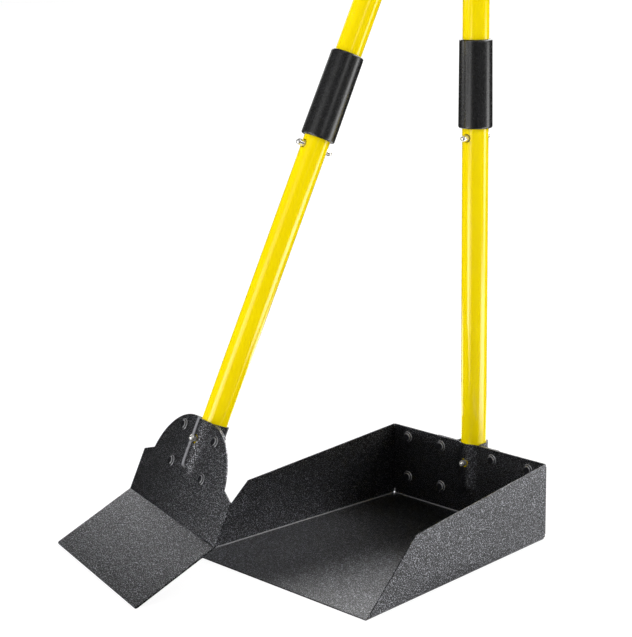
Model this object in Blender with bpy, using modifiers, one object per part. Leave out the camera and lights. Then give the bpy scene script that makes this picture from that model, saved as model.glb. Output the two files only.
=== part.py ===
"""Pan and spade set for picking up after a dog.

Metres, +Z up, pan's mouth towards -Y, origin at the middle of the pan's underside.
Each tool's socket has a frame of its own: X across, Z up the pole, front towards -Y,
with its origin on the sheet's rear face at the middle of the sheet's top edge.
"""

import math

import bmesh
import bpy
from mathutils import Vector

# Clearances and overruns
SEAT_GAP = 0.0003
CUT_OVERRUN = 0.002
WELD_DISTANCE = 0.00005

# Pan: one folded sheet
PAN_SHEET = 0.0012
PAN_LENGTH = 0.2594
PAN_BACK_WIDTH = 0.1967
PAN_MOUTH_WIDTH = 0.2255
PAN_WALL_HEIGHT = 0.075
PAN_BREAK_HEIGHT = 0.0584
PAN_BREAK_FROM_BACK = 0.1939
PAN_MOUTH_LIP = 0.002
PAN_FOLD_RADIUS = 0.0023
PAN_CORNER_RELIEF = 0.0025
PAN_TAB_WIDTH = 0.034
PAN_TAB_DROP = 0.003
PAN_TAB_CHAMFER = 0.008

# Spade blade: one sheet bent once
BLADE_SHEET = 0.0015
BLADE_WIDTH = 0.1881
BLADE_LOWER_LENGTH = 0.0879
BLADE_UPPER_HEIGHT = 0.0956
BLADE_BEND_RADIUS = 0.003
BLADE_LOWER_ANGLE = math.radians(27.9)
BLADE_POLE_ANGLE = math.radians(66.1)
BLADE_SHOULDER_HEIGHT = 0.042
BLADE_HEAD_WIDTH = 0.151
BLADE_HEAD_FOOT_HEIGHT = 0.0485
BLADE_HEAD_RADIUS = 0.062
BLADE_CORNER_RADIUS = 0.0025

# Where the spade stands: the middle of its bend, seen from above, and its turn
SPADE_X = -0.1199
SPADE_Y = -0.1500
SPADE_TURN = math.radians(-15.2)

# Pole tubes
TUBE_RADIUS = 0.0125
TUBE_WALL = 0.0012
PAN_LOWER_TUBE_LENGTH = 0.377
SPADE_LOWER_TUBE_LENGTH = 0.348
UPPER_TUBE_LENGTH = 0.443
SWAGE_LENGTH = 0.055
SWAGE_TAPER = 0.003

# Pressed half-round, shared by pan and blade
POLE_OFFSET = 0.0092
BULGE_STRAIGHT = 0.040
BULGE_FILLET = 0.024

# Saddles behind the sheets
SADDLE_SHEET = 0.0015
SADDLE_WIDTH = 0.086
SADDLE_HEIGHT = 0.062
SADDLE_BEND = 0.003
SADDLE_CORNER = 0.006

# Rivets
RIVET_FLANGE_RADIUS = 0.0052
RIVET_FLANGE_THICKNESS = 0.0012
RIVET_CROWN_RADIUS = 0.0035
RIVET_CROWN_HEIGHT = 0.0014
RIVET_CROWN_ROUND = 0.0005
RIVET_SHANK_RADIUS = 0.0022
RIVET_TAIL_RADIUS = 0.0038
RIVET_TAIL_HEIGHT = 0.0016
SOCKET_RIVET_REACH = 0.033
PAN_RIVET_DROP = 0.010
PAN_RIVET_SPACING = 0.042
PAN_TAB_RIVET_INSET = 0.0205
BLADE_RIVET_DROP = 0.0135
BLADE_RIVET_SPACING = 0.0362

# Snap buttons and their spring clips
BUTTON_RADIUS = 0.0030
BUTTON_PROUD = 0.0073
BUTTON_ROUND = 0.0028
BUTTON_HOLE_RADIUS = 0.0037
SHEET_HOLE_RADIUS = 0.0055
SOCKET_BUTTON_DROP = 0.0195
JOINT_BUTTON_BELOW_SEAM = 0.037
CLIP_STRIP = 0.0007
CLIP_WIDTH = 0.007
CLIP_LEG_ABOVE = 0.006
CLIP_LEG_BELOW = 0.009
CLIP_NOSE_DROP = 0.017
CLIP_NOSE_RADIUS = 0.003
CLIP_NOSE_SLOPE = 20

# Sleeve over the joint
SLEEVE_LENGTH = 0.083
SLEEVE_BELOW_SEAM = 0.028
SLEEVE_TOP_RADIUS = 0.01555
SLEEVE_FOOT_RADIUS = 0.0162
SLEEVE_ROUND = 0.0014

# Hand grip and end cap
GRIP_LENGTH = 0.115
GRIP_RADIUS = 0.0160
GRIP_WAIST = 0.0008
GRIP_ROUND = 0.003
GRIP_GROOVES = 4
GRIP_GROOVE_DEPTH = 0.0007
GRIP_GROOVE_SHARE = 0.3
CAP_PLUG_LENGTH = 0.018
CAP_COLLAR_HEIGHT = 0.006
CAP_DOME_HEIGHT = 0.007
CAP_EYE_RADIUS = 0.0110
CAP_EYE_HOLE_RADIUS = 0.0062
CAP_EYE_THICKNESS = 0.0056
CAP_EYE_RISE = 0.016
CAP_EYE_ROUND = 0.0008

# How finely round forms are cut up, and the share of a bevel that makes it round
ROUND_BEVEL_SHARE = 0.5
TUBE_SIDES = 24
BUTTON_SIDES = 16
RIVET_SIDES = 12
HOLE_SIDES = 16
FOLD_STEPS = 4
EDGE_STEPS = 2
CORNER_STEPS = 4
BULGE_STEPS = 7
ARC_STEPS = 8

# Sizes that follow from the ones above
BULGE_RADIUS = TUBE_RADIUS + SEAT_GAP
BULGE_REACH = math.sqrt(
    (BULGE_RADIUS + BULGE_FILLET) ** 2 - (POLE_OFFSET + BULGE_FILLET) ** 2
)
BULGE_TANGENT = BULGE_REACH * BULGE_RADIUS / (BULGE_RADIUS + BULGE_FILLET)
SWAGE_RADIUS = TUBE_RADIUS - TUBE_WALL - SEAT_GAP
PAN_BACK_FACE = PAN_LENGTH / 2 - PAN_SHEET - SEAT_GAP
PAN_SPLAY = math.atan2((PAN_MOUTH_WIDTH - PAN_BACK_WIDTH) / 2, PAN_LENGTH)
BLADE_BEND = BLADE_POLE_ANGLE - BLADE_LOWER_ANGLE
BLADE_SETBACK = BLADE_BEND_RADIUS * math.tan(BLADE_BEND / 2)
RIVET_HOLE_RADIUS = RIVET_SHANK_RADIUS + SEAT_GAP

QUARTER_TURN = math.radians(90)
TO_REAR = Vector((0, 1, 0))
UPWARD = Vector((0, 0, 1))
REAR_TO_UP = TO_REAR.rotation_difference(UPWARD).to_matrix()

BLACK_STEEL = ("hammered_black", (0.035, 0.036, 0.038), 0.42, 0.35)
YELLOW_STEEL = ("yellow_enamel", (0.93, 0.74, 0.02), 0.18, 0.0)
BLACK_SLEEVE = ("black_sleeve", (0.022, 0.022, 0.024), 0.38, 0.0)
BRIGHT_STEEL = ("bright_steel", (0.72, 0.71, 0.68), 0.2, 1.0)
BLACK_RUBBER = ("black_rubber", (0.03, 0.03, 0.03), 0.75, 0.0)


def clear_scene():
    for obj in list(bpy.data.objects):
        bpy.data.objects.remove(obj, do_unlink=True)


def make_collection(name):
    collection = bpy.data.collections.new(name)
    bpy.context.scene.collection.children.link(collection)
    return collection


def make_material(finish):
    name, colour, roughness, metallic = finish
    material = bpy.data.materials.get(name)
    if material is None:
        material = bpy.data.materials.new(name)
        material.use_nodes = True
        shader = material.node_tree.nodes["Principled BSDF"]
        shader.inputs["Base Color"].default_value = (*colour, 1.0)
        shader.inputs["Roughness"].default_value = roughness
        shader.inputs["Metallic"].default_value = metallic
    return material


clear_scene()
PARTS = make_collection("pooper_scooper")
CUTTERS = make_collection("cutters")


def make_frame(name, location, rotation=(0, 0, 0), parent=None):
    """An empty that carries the pieces of one tool or of one socket."""
    frame = bpy.data.objects.new(name, None)
    CUTTERS.objects.link(frame)
    frame.parent = parent
    frame.location = location
    frame.rotation_euler = rotation
    return frame


def place(obj, frame, location=(0, 0, 0), rotation=(0, 0, 0)):
    obj.parent = frame
    obj.location = location
    obj.rotation_euler = rotation
    return obj


def add_piece(name, mesh, finish):
    obj = bpy.data.objects.new(name, mesh)
    if not mesh.materials:
        mesh.materials.append(make_material(finish))
    PARTS.objects.link(obj)
    return obj


def add_cutter(name, mesh):
    obj = bpy.data.objects.new(name, mesh)
    CUTTERS.objects.link(obj)
    obj.hide_render = True
    obj.display_type = "WIRE"
    return obj


def use_boolean(obj, cutter, operation="DIFFERENCE"):
    modifier = obj.modifiers.new(cutter.name, "BOOLEAN")
    modifier.operation = operation
    modifier.object = cutter


def mesh_from(bm, name):
    mesh = bpy.data.meshes.new(name)
    bm.to_mesh(mesh)
    bm.free()
    return mesh


def arc(centre, radius, start, end, steps=ARC_STEPS):
    """Points from one angle to another about a centre, angles in degrees."""
    points = []
    for step in range(steps + 1):
        angle = math.radians(start + (end - start) * step / steps)
        across = centre[0] + radius * math.cos(angle)
        up = centre[1] + radius * math.sin(angle)
        points.append((across, up))
    return points


# Turned pieces

def turned_mesh(name, profile, closed):
    """A profile in the XZ plane: its outer side runs from the top to the bottom."""
    bm = bmesh.new()
    verts = [bm.verts.new((x, 0, z)) for x, z in profile]
    for first, second in zip(verts, verts[1:]):
        bm.edges.new((first, second))
    if closed:
        bm.edges.new((verts[-1], verts[0]))
    return mesh_from(bm, name)


def turn(obj, sides=TUBE_SIDES):
    screw = obj.modifiers.new("turn", "SCREW")
    screw.steps = sides
    screw.render_steps = sides
    screw.use_merge_vertices = True
    screw.merge_threshold = WELD_DISTANCE
    screw.use_smooth_shade = True
    return obj


def turned_piece(name, profile, finish, closed=False, sides=TUBE_SIDES):
    return turn(add_piece(name, turned_mesh(name, profile, closed), finish), sides)


def hole_cutter(name, frame, holes, depth):
    """Round bars along Y: holes lists each one's x, y, z and radius."""
    bm = bmesh.new()
    for x, y, z, radius in holes:
        made = bmesh.ops.create_cone(
            bm, cap_ends=True, segments=HOLE_SIDES,
            radius1=radius, radius2=radius, depth=depth,
        )
        bmesh.ops.rotate(bm, verts=made["verts"], matrix=REAR_TO_UP)
        bmesh.ops.translate(bm, verts=made["verts"], vec=(x, y, z))
    return place(add_cutter(name, mesh_from(bm, name)), frame)


# Folded sheets

def flat_patch(bm, across, along):
    """A flat patch of sheet with a line at each value across X and along Y."""
    made = bmesh.ops.create_grid(
        bm, x_segments=len(across) - 1, y_segments=len(along) - 1, size=0.5
    )
    for vert in made["verts"]:
        column = round((vert.co.x + 0.5) * (len(across) - 1))
        row = round((vert.co.y + 0.5) * (len(along) - 1))
        vert.co = Vector((across[column], along[row], 0))
    return made["verts"]


def patch_geometry(verts):
    edges = {edge for vert in verts for edge in vert.link_edges}
    faces = {face for vert in verts for face in vert.link_faces}
    return list(verts) + list(edges) + list(faces)


def trim(bm, verts, start, end, side):
    """Cuts a patch along the line from start to end and drops what lies to that side."""
    line = Vector((*end, 0)) - Vector((*start, 0))
    waste = Vector((line.y, -line.x, 0)).normalized()
    if waste.dot(Vector((*side, 0))) < 0:
        waste.negate()
    result = bmesh.ops.bisect_plane(
        bm, geom=patch_geometry(verts), dist=WELD_DISTANCE / 10,
        plane_co=(*start, 0), plane_no=waste, clear_outer=True,
    )
    return [item for item in result["geom"] if isinstance(item, bmesh.types.BMVert)]


def fold(verts, start, beyond, radius, angle):
    """Wraps what lies beyond a line round a bend, then lets it run on straight."""
    for vert in verts:
        past = (vert.co - start).dot(beyond)
        if past <= 0:
            continue
        height = vert.co.z
        turned = min(past / radius, angle)
        rest = past - turned * radius
        reach = radius * math.sin(turned) + rest * math.cos(turned)
        lift = radius * (1 - math.cos(turned)) + rest * math.sin(turned)
        reach -= height * math.sin(turned)
        lift += height * (math.cos(turned) - 1)
        vert.co += beyond * (reach - past) + UPWARD * lift


def bend_lines(start, radius, angle):
    """Places along the flat sheet where a bend starts, turns and ends."""
    return [start + radius * angle * step / FOLD_STEPS for step in range(FOLD_STEPS + 1)]


def bulge_height(distance):
    """How far the half-round stands off the sheet at a distance from its ridge."""
    if distance >= BULGE_REACH:
        return 0.0
    if distance <= BULGE_TANGENT:
        return math.sqrt(BULGE_RADIUS ** 2 - distance ** 2) - POLE_OFFSET
    return BULGE_FILLET - math.sqrt(BULGE_FILLET ** 2 - (BULGE_REACH - distance) ** 2)


def press_bulge(verts, top):
    """Presses the half-round for the tube, with a rounded foot, below a top edge."""
    for vert in verts:
        below = max(0.0, top - vert.co.y - BULGE_STRAIGHT)
        vert.co.z += bulge_height(math.hypot(vert.co.x, below))


def bulge_columns():
    return [BULGE_REACH * step / BULGE_STEPS for step in range(BULGE_STEPS + 1)]


def bulge_rows(top):
    """Lines across the half-round, from its foot up to the top edge."""
    foot = top - BULGE_STRAIGHT
    rows = [foot - BULGE_REACH * (BULGE_STEPS - step) / BULGE_STEPS
            for step in range(BULGE_STEPS + 1)]
    rows.append(top - BULGE_STRAIGHT / 2)
    rows.append(top)
    return rows


def sheet_piece(name, bm, thickness, finish):
    """Mirrors a half sheet, which is the rear face, and gives it its thickness."""
    obj = add_piece(name, mesh_from(bm, name), finish)
    mirror = obj.modifiers.new("other_half", "MIRROR")
    mirror.use_clip = True
    mirror.merge_threshold = WELD_DISTANCE
    solidify = obj.modifiers.new("sheet", "SOLIDIFY")
    solidify.thickness = thickness
    solidify.offset = 1.0
    solidify.use_even_offset = True
    return obj


# The pan

def pan_side(y):
    """Where the fold of the side wall starts, at a place along the pan."""
    share = (PAN_LENGTH / 2 - y) / PAN_LENGTH
    half = (PAN_BACK_WIDTH + (PAN_MOUTH_WIDTH - PAN_BACK_WIDTH) * share) / 2
    return half - PAN_FOLD_RADIUS / math.cos(PAN_SPLAY)


def pan_floor_and_back(bm):
    fold_start = PAN_BACK_FACE - PAN_FOLD_RADIUS
    relief = fold_start - PAN_CORNER_RELIEF
    bend = bend_lines(fold_start, PAN_FOLD_RADIUS, QUARTER_TURN)
    top = bend[-1] + PAN_WALL_HEIGHT - PAN_FOLD_RADIUS
    rows = [-PAN_LENGTH / 2, PAN_LENGTH / 2 - PAN_BREAK_FROM_BACK, relief]
    rows += bend + bulge_rows(top)
    back_half = PAN_BACK_WIDTH / 2 - PAN_SHEET - SEAT_GAP
    columns = bulge_columns() + [back_half]
    verts = flat_patch(bm, columns, rows)
    for vert in verts:
        past_bulge = vert.co.x > BULGE_REACH + WELD_DISTANCE
        on_floor = vert.co.y < fold_start + WELD_DISTANCE
        if past_bulge and on_floor:
            vert.co.x = pan_side(vert.co.y)
    press_bulge(verts, top)
    fold(verts, Vector((0, fold_start, 0)), TO_REAR, PAN_FOLD_RADIUS, QUARTER_TURN)


def wall_patch(bm, along, out, columns, rows, trims):
    """A stretch of side wall, laid flat beside its fold and trimmed to its outline."""
    origin = Vector((pan_side(-PAN_LENGTH / 2), -PAN_LENGTH / 2, 0))
    verts = flat_patch(bm, columns, rows)
    for vert in verts:
        vert.co = origin + out * vert.co.x + along * vert.co.y
    for start, end, side in trims:
        verts = trim(bm, verts, start, end, side)
    return verts


def pan_wall(bm):
    along = Vector((-math.sin(PAN_SPLAY), math.cos(PAN_SPLAY), 0))
    out = Vector((math.cos(PAN_SPLAY), math.sin(PAN_SPLAY), 0))
    origin = Vector((pan_side(-PAN_LENGTH / 2), -PAN_LENGTH / 2, 0))
    wall_foot = PAN_FOLD_RADIUS * QUARTER_TURN
    to_flat = wall_foot - PAN_FOLD_RADIUS
    wall_top = PAN_WALL_HEIGHT + to_flat
    slope = math.cos(PAN_SPLAY)
    relief = PAN_BACK_FACE - PAN_FOLD_RADIUS - PAN_CORNER_RELIEF
    relief_row = (relief + PAN_LENGTH / 2) / slope
    break_row = (PAN_LENGTH - PAN_BREAK_FROM_BACK) / slope
    corner_row = PAN_LENGTH / slope
    tab_turn = QUARTER_TURN - PAN_SPLAY
    tab_row = corner_row - PAN_FOLD_RADIUS * math.tan(tab_turn / 2)
    tab_bend = bend_lines(tab_row, PAN_FOLD_RADIUS, tab_turn)
    tab_end = corner_row + PAN_TAB_WIDTH

    def flat_point(row, distance):
        spot = origin + along * row + out * distance
        return (spot.x, spot.y)

    corner = flat_point(corner_row, wall_top)
    wall_break = flat_point(break_row, PAN_BREAK_HEIGHT + to_flat)
    mouth = flat_point(0, PAN_MOUTH_LIP)
    trims = [(corner, wall_break, out.xy), (wall_break, mouth, (out - along).xy)]
    tab_top = wall_top - PAN_TAB_DROP
    tab_foot = wall_foot + PAN_TAB_DROP
    tab_columns = [tab_foot, tab_foot + PAN_TAB_CHAMFER, tab_top - PAN_TAB_CHAMFER, tab_top]
    upper = tab_columns + [wall_top]
    bend = bend_lines(0, PAN_FOLD_RADIUS, QUARTER_TURN)
    wall = wall_patch(bm, along, out, bend + upper, [0, break_row, relief_row], trims)
    rear = wall_patch(bm, along, out, bend[-1:] + upper, [relief_row, tab_row], trims[:1])
    tab_trims = [
        (flat_point(tab_end, tab_top - PAN_TAB_CHAMFER),
         flat_point(tab_end - PAN_TAB_CHAMFER, tab_top), (out + along).xy),
        (flat_point(tab_end, tab_foot + PAN_TAB_CHAMFER),
         flat_point(tab_end - PAN_TAB_CHAMFER, tab_foot), (along - out).xy),
    ]
    tab = wall_patch(bm, along, out, tab_columns, tab_bend + [tab_end], tab_trims)
    fold(tab, origin + along * tab_row, along, PAN_FOLD_RADIUS, tab_turn)
    verts = [vert for vert in wall + rear + tab if vert.is_valid]
    fold(verts, origin, out, PAN_FOLD_RADIUS, QUARTER_TURN)


def make_pan(socket, places):
    bm = bmesh.new()
    pan_floor_and_back(bm)
    pan_wall(bm)
    bmesh.ops.remove_doubles(bm, verts=bm.verts, dist=WELD_DISTANCE)
    pan = sheet_piece("tray_pan", bm, PAN_SHEET, BLACK_STEEL)
    holes = [(x, 0, z, RIVET_HOLE_RADIUS) for x, z, _ in places]
    holes.append((0, 0, -SOCKET_BUTTON_DROP, SHEET_HOLE_RADIUS))
    depth = 2 * (POLE_OFFSET + TUBE_RADIUS)
    use_boolean(pan, hole_cutter("pan_holes", socket, holes, depth))


def pan_rivet_places():
    """Each rivet's place across and up, and the thickness that it holds behind."""
    places = []
    outer = PAN_BACK_WIDTH / 2 - PAN_TAB_RIVET_INSET
    for drop in (PAN_RIVET_DROP, PAN_RIVET_DROP + PAN_RIVET_SPACING):
        for x in (-outer, outer):
            places.append((x, -drop, PAN_SHEET))
        for x in (-SOCKET_RIVET_REACH, SOCKET_RIVET_REACH):
            places.append((x, -drop, SADDLE_SHEET))
    return places


# The spade's blade

def blade_outline():
    """The upper plate's outline, in the bend's frame, wide enough to miss the sides."""
    half = BLADE_HEAD_WIDTH / 2
    slope = (BLADE_HEAD_FOOT_HEIGHT - BLADE_SHOULDER_HEIGHT) / (BLADE_WIDTH / 2 - half)
    shoulder = (BLADE_WIDTH / 2 + CUT_OVERRUN, BLADE_SHOULDER_HEIGHT - slope * CUT_OVERRUN)
    top = BLADE_UPPER_HEIGHT
    centre_up = top - BLADE_HEAD_RADIUS
    rise = BLADE_HEAD_FOOT_HEIGHT - centre_up
    centre_across = half - math.sqrt(BLADE_HEAD_RADIUS ** 2 - rise ** 2)
    start = math.degrees(math.asin(rise / BLADE_HEAD_RADIUS))
    head = arc((centre_across, centre_up), BLADE_HEAD_RADIUS, start, 90)
    foot = (shoulder[0], -BLADE_LOWER_LENGTH - CUT_OVERRUN)
    right = [foot, shoulder] + head
    left = [(-x, z) for x, z in reversed(right)]
    return right + left


def prism(name, outline, depth):
    """A flat outline across X and up Z, thick along Y, as a mesh."""
    curve = bpy.data.curves.new(name, "CURVE")
    curve.dimensions = "2D"
    curve.fill_mode = "BOTH"
    curve.extrude = depth / 2
    spline = curve.splines.new("POLY")
    spline.points.add(len(outline) - 1)
    for point, (x, z) in zip(spline.points, outline):
        point.co = (x, z, 0, 1)
    spline.use_cyclic_u = True
    guide = bpy.data.objects.new(name, curve)
    CUTTERS.objects.link(guide)
    guide.rotation_euler = (QUARTER_TURN, 0, 0)
    bpy.context.view_layer.update()
    evaluated = guide.evaluated_get(bpy.context.evaluated_depsgraph_get())
    mesh = bpy.data.meshes.new_from_object(evaluated)
    mesh.transform(guide.matrix_world)
    bpy.data.objects.remove(guide)
    bm = bmesh.new()
    bm.from_mesh(mesh)
    bmesh.ops.remove_doubles(bm, verts=bm.verts, dist=WELD_DISTANCE)
    bm.to_mesh(mesh)
    bm.free()
    mesh.name = name
    return mesh


def make_blade(spade, socket, places, outline):
    bm = bmesh.new()
    top = BLADE_UPPER_HEIGHT
    start = -BLADE_SETBACK
    bend = bend_lines(start, BLADE_BEND_RADIUS, BLADE_BEND)
    edge = bend[-1] + BLADE_LOWER_LENGTH - BLADE_SETBACK
    rows = [-edge] + [-line for line in reversed(bend)] + bulge_rows(top)
    columns = bulge_columns() + [BLADE_WIDTH / 2]
    verts = flat_patch(bm, columns, rows)
    press_bulge(verts, top)
    fold(verts, Vector((0, -start, 0)), -TO_REAR, BLADE_BEND_RADIUS, BLADE_BEND)
    corner = [vert for vert in verts if vert.co.x > BULGE_REACH * 2]
    lowest = min(corner, key=lambda vert: vert.co.y)
    bmesh.ops.bevel(
        bm, geom=[lowest], offset=BLADE_CORNER_RADIUS, segments=CORNER_STEPS,
        affect="VERTICES", profile=ROUND_BEVEL_SHARE,
    )
    bmesh.ops.rotate(bm, verts=bm.verts, matrix=REAR_TO_UP)
    blade = place(sheet_piece("spade_blade", bm, BLADE_SHEET, BLACK_STEEL), spade)
    use_boolean(blade, outline, "INTERSECT")
    holes = [(x, 0, z, RIVET_HOLE_RADIUS) for x, z, _ in places]
    holes.append((0, 0, -SOCKET_BUTTON_DROP, SHEET_HOLE_RADIUS))
    depth = 2 * (POLE_OFFSET + TUBE_RADIUS)
    use_boolean(blade, hole_cutter("blade_holes", socket, holes, depth))


def blade_rivet_places():
    places = []
    for drop in (BLADE_RIVET_DROP, BLADE_RIVET_DROP + BLADE_RIVET_SPACING):
        for x in (-SOCKET_RIVET_REACH, SOCKET_RIVET_REACH):
            places.append((x, -drop, SADDLE_SHEET))
    return places


# Saddles and rivets

def make_saddle(name, socket, rivet_places, outline=None):
    """A hat section: flanges against the sheet and a half-round behind the tube."""
    inner = SEAT_GAP
    bend_centre = (BULGE_RADIUS + SADDLE_BEND, inner + SADDLE_BEND)
    path = arc((0, POLE_OFFSET), BULGE_RADIUS, 90, 0)
    path += arc(bend_centre, SADDLE_BEND, 180, 270, FOLD_STEPS)
    path += [(SADDLE_WIDTH / 2, inner)]
    bm = bmesh.new()
    verts = flat_patch(bm, list(range(len(path))), [-SADDLE_HEIGHT, 0])
    for vert in verts:
        x, y = path[round(vert.co.x)]
        vert.co = Vector((x, y, vert.co.y))
    corners = [vert for vert in verts if vert.co.x > SADDLE_WIDTH / 2 - WELD_DISTANCE]
    bmesh.ops.bevel(
        bm, geom=corners, offset=SADDLE_CORNER, segments=CORNER_STEPS,
        affect="VERTICES", profile=ROUND_BEVEL_SHARE,
    )
    bmesh.ops.reverse_faces(bm, faces=bm.faces)
    saddle = place(sheet_piece(name, bm, SADDLE_SHEET, BLACK_STEEL), socket)
    if outline:
        use_boolean(saddle, outline, "INTERSECT")
    holes = [(x, 0, z, RIVET_HOLE_RADIUS) for x, z, hold in rivet_places
             if abs(x) < SADDLE_WIDTH / 2]
    depth = 2 * (SADDLE_SHEET + SADDLE_BEND)
    use_boolean(saddle, hole_cutter(name + "_rivet_holes", socket, holes, depth))
    rear = POLE_OFFSET + BULGE_RADIUS
    button = [(0, rear, -SOCKET_BUTTON_DROP, BUTTON_HOLE_RADIUS)]
    use_boolean(saddle, hole_cutter(name + "_button_hole", socket, button, depth))


def rivet_profile(sheet, behind):
    """Stepped head in front, formed tail behind, each a gap away from what it holds."""
    flange_foot = sheet + SEAT_GAP
    flange_top = flange_foot + RIVET_FLANGE_THICKNESS
    crown_top = flange_top + RIVET_CROWN_HEIGHT
    tail_top = -(behind + 2 * SEAT_GAP)
    tail_foot = tail_top - RIVET_TAIL_HEIGHT
    return [
        (0, crown_top),
        (RIVET_CROWN_RADIUS - RIVET_CROWN_ROUND, crown_top),
        (RIVET_CROWN_RADIUS, crown_top - RIVET_CROWN_ROUND),
        (RIVET_CROWN_RADIUS, flange_top),
        (RIVET_FLANGE_RADIUS, flange_top),
        (RIVET_FLANGE_RADIUS, flange_foot),
        (RIVET_SHANK_RADIUS, flange_foot),
        (RIVET_SHANK_RADIUS, tail_top),
        (RIVET_TAIL_RADIUS, tail_top),
        (RIVET_TAIL_RADIUS, tail_foot),
        (0, tail_foot),
    ]


def make_rivets(prefix, socket, sheet, places):
    for number, (x, z, behind) in enumerate(places, start=1):
        name = f"{prefix}_rivet_{number}"
        rivet = turned_piece(name, rivet_profile(sheet, behind), BLACK_STEEL, sides=RIVET_SIDES)
        place(rivet, socket, (x, 0, z), (QUARTER_TURN, 0, 0))


# The pole

def ring_profile(outer, inner, foot, top):
    return [(outer, top), (outer, foot), (inner, foot), (inner, top)]


def make_lower_tube(name, pole, length):
    foot = -BULGE_STRAIGHT
    seam = foot + length
    bore = TUBE_RADIUS - TUBE_WALL
    profile = ring_profile(TUBE_RADIUS, bore, foot, seam)
    tube = turned_piece(name, profile, YELLOW_STEEL, closed=True)
    place(tube, pole)
    holes = [
        (0, 0, -SOCKET_BUTTON_DROP, BUTTON_HOLE_RADIUS),
        (0, 0, seam - JOINT_BUTTON_BELOW_SEAM, BUTTON_HOLE_RADIUS),
    ]
    use_boolean(tube, hole_cutter(name + "_holes", pole, holes, 4 * TUBE_RADIUS))
    return seam


def make_upper_tube(name, pole, seam):
    shoulder = seam + SEAT_GAP
    top = shoulder + UPPER_TUBE_LENGTH
    foot = seam - SWAGE_LENGTH
    profile = [
        (TUBE_RADIUS, top),
        (TUBE_RADIUS, shoulder + SWAGE_TAPER),
        (SWAGE_RADIUS, shoulder),
        (SWAGE_RADIUS, foot),
        (SWAGE_RADIUS - TUBE_WALL, foot),
        (SWAGE_RADIUS - TUBE_WALL, shoulder),
        (TUBE_RADIUS - TUBE_WALL, shoulder + SWAGE_TAPER),
        (TUBE_RADIUS - TUBE_WALL, top),
    ]
    tube = turned_piece(name, profile, YELLOW_STEEL, closed=True)
    place(tube, pole)
    holes = [(0, 0, seam - JOINT_BUTTON_BELOW_SEAM, BUTTON_HOLE_RADIUS)]
    use_boolean(tube, hole_cutter(name + "_holes", pole, holes, 4 * TUBE_RADIUS))
    return top


def clip_face(bore):
    """How far from the axis a flat leg can lie inside a round bore."""
    half = CLIP_WIDTH / 2
    return math.sqrt(bore ** 2 - half ** 2) - SEAT_GAP


def make_clip(name, pole, bore, height):
    """A strip bent to a V, with two upright legs that press the buttons outwards."""
    face = clip_face(bore)
    nose_foot = -CLIP_LEG_BELOW - CLIP_NOSE_DROP
    nose_centre = (0, nose_foot + CLIP_NOSE_RADIUS)
    nose = arc(nose_centre, CLIP_NOSE_RADIUS, 270, 360 - CLIP_NOSE_SLOPE, FOLD_STEPS)
    path = nose + [(face, -CLIP_LEG_BELOW), (face, CLIP_LEG_ABOVE)]
    bm = bmesh.new()
    half = CLIP_WIDTH / 2
    verts = flat_patch(bm, list(range(len(path))), [-half, half])
    for vert in verts:
        y, z = path[round(vert.co.x)]
        vert.co = Vector((vert.co.y, y, z))
    obj = add_piece(name, mesh_from(bm, name), BRIGHT_STEEL)
    mirror = obj.modifiers.new("other_leg", "MIRROR")
    mirror.use_axis = (False, True, False)
    mirror.merge_threshold = WELD_DISTANCE
    solidify = obj.modifiers.new("strip", "SOLIDIFY")
    solidify.thickness = CLIP_STRIP
    solidify.offset = -1.0
    solidify.use_even_offset = True
    place(obj, pole, (0, 0, height))
    return face


def make_buttons(prefix, pole, face, height):
    """Two round-nosed buttons on one axis, each with its origin on that axis."""
    foot = face + SEAT_GAP
    tip = TUBE_RADIUS + BUTTON_PROUD
    round_centre = (BUTTON_RADIUS - BUTTON_ROUND, tip - BUTTON_ROUND)
    nose = arc(round_centre, BUTTON_ROUND, 90, 0, FOLD_STEPS)
    profile = [(0, tip)] + nose + [(BUTTON_RADIUS, foot), (0, foot)]
    for side, turned_to in (("front", QUARTER_TURN), ("rear", -QUARTER_TURN)):
        name = f"{prefix}_button_{side}"
        button = turned_piece(name, profile, BRIGHT_STEEL, sides=BUTTON_SIDES)
        place(button, pole, (0, 0, height), (turned_to, 0, 0))


def make_sleeve(name, pole, seam):
    foot = seam - SLEEVE_BELOW_SEAM
    top = foot + SLEEVE_LENGTH
    bore = TUBE_RADIUS + SEAT_GAP
    crown = (SLEEVE_TOP_RADIUS - SLEEVE_ROUND, top - SLEEVE_ROUND)
    heel = (SLEEVE_FOOT_RADIUS - SLEEVE_ROUND, foot + SLEEVE_ROUND)
    profile = arc(crown, SLEEVE_ROUND, 90, 0, EDGE_STEPS)
    profile += arc(heel, SLEEVE_ROUND, 0, -90, EDGE_STEPS)
    profile += [(bore, foot), (bore, top)]
    place(turned_piece(name, profile, BLACK_SLEEVE, closed=True), pole)


def make_grip(name, pole, top):
    """A soft grip, slightly waisted, with shallow grooves round its middle."""
    head = top - SEAT_GAP
    foot = head - GRIP_LENGTH
    bore = TUBE_RADIUS + SEAT_GAP
    crown = (GRIP_RADIUS - GRIP_ROUND, head - GRIP_ROUND)
    heel = (GRIP_RADIUS - GRIP_ROUND, foot + GRIP_ROUND)
    profile = arc(crown, GRIP_ROUND, 90, 0, EDGE_STEPS)
    pitch = (GRIP_LENGTH - 4 * GRIP_ROUND) / GRIP_GROOVES
    waist = GRIP_RADIUS - GRIP_WAIST
    for groove in range(GRIP_GROOVES):
        half = pitch * GRIP_GROOVE_SHARE / 2
        middle = head - 2 * GRIP_ROUND - pitch * groove - pitch / 2
        profile += [
            (waist, middle + half),
            (waist - GRIP_GROOVE_DEPTH, middle + half / 2),
            (waist - GRIP_GROOVE_DEPTH, middle - half / 2),
            (waist, middle - half),
        ]
    profile += arc(heel, GRIP_ROUND, 0, -90, EDGE_STEPS)
    profile += [(bore, foot), (bore, head)]
    place(turned_piece(name, profile, BLACK_RUBBER, closed=True), pole)


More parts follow.
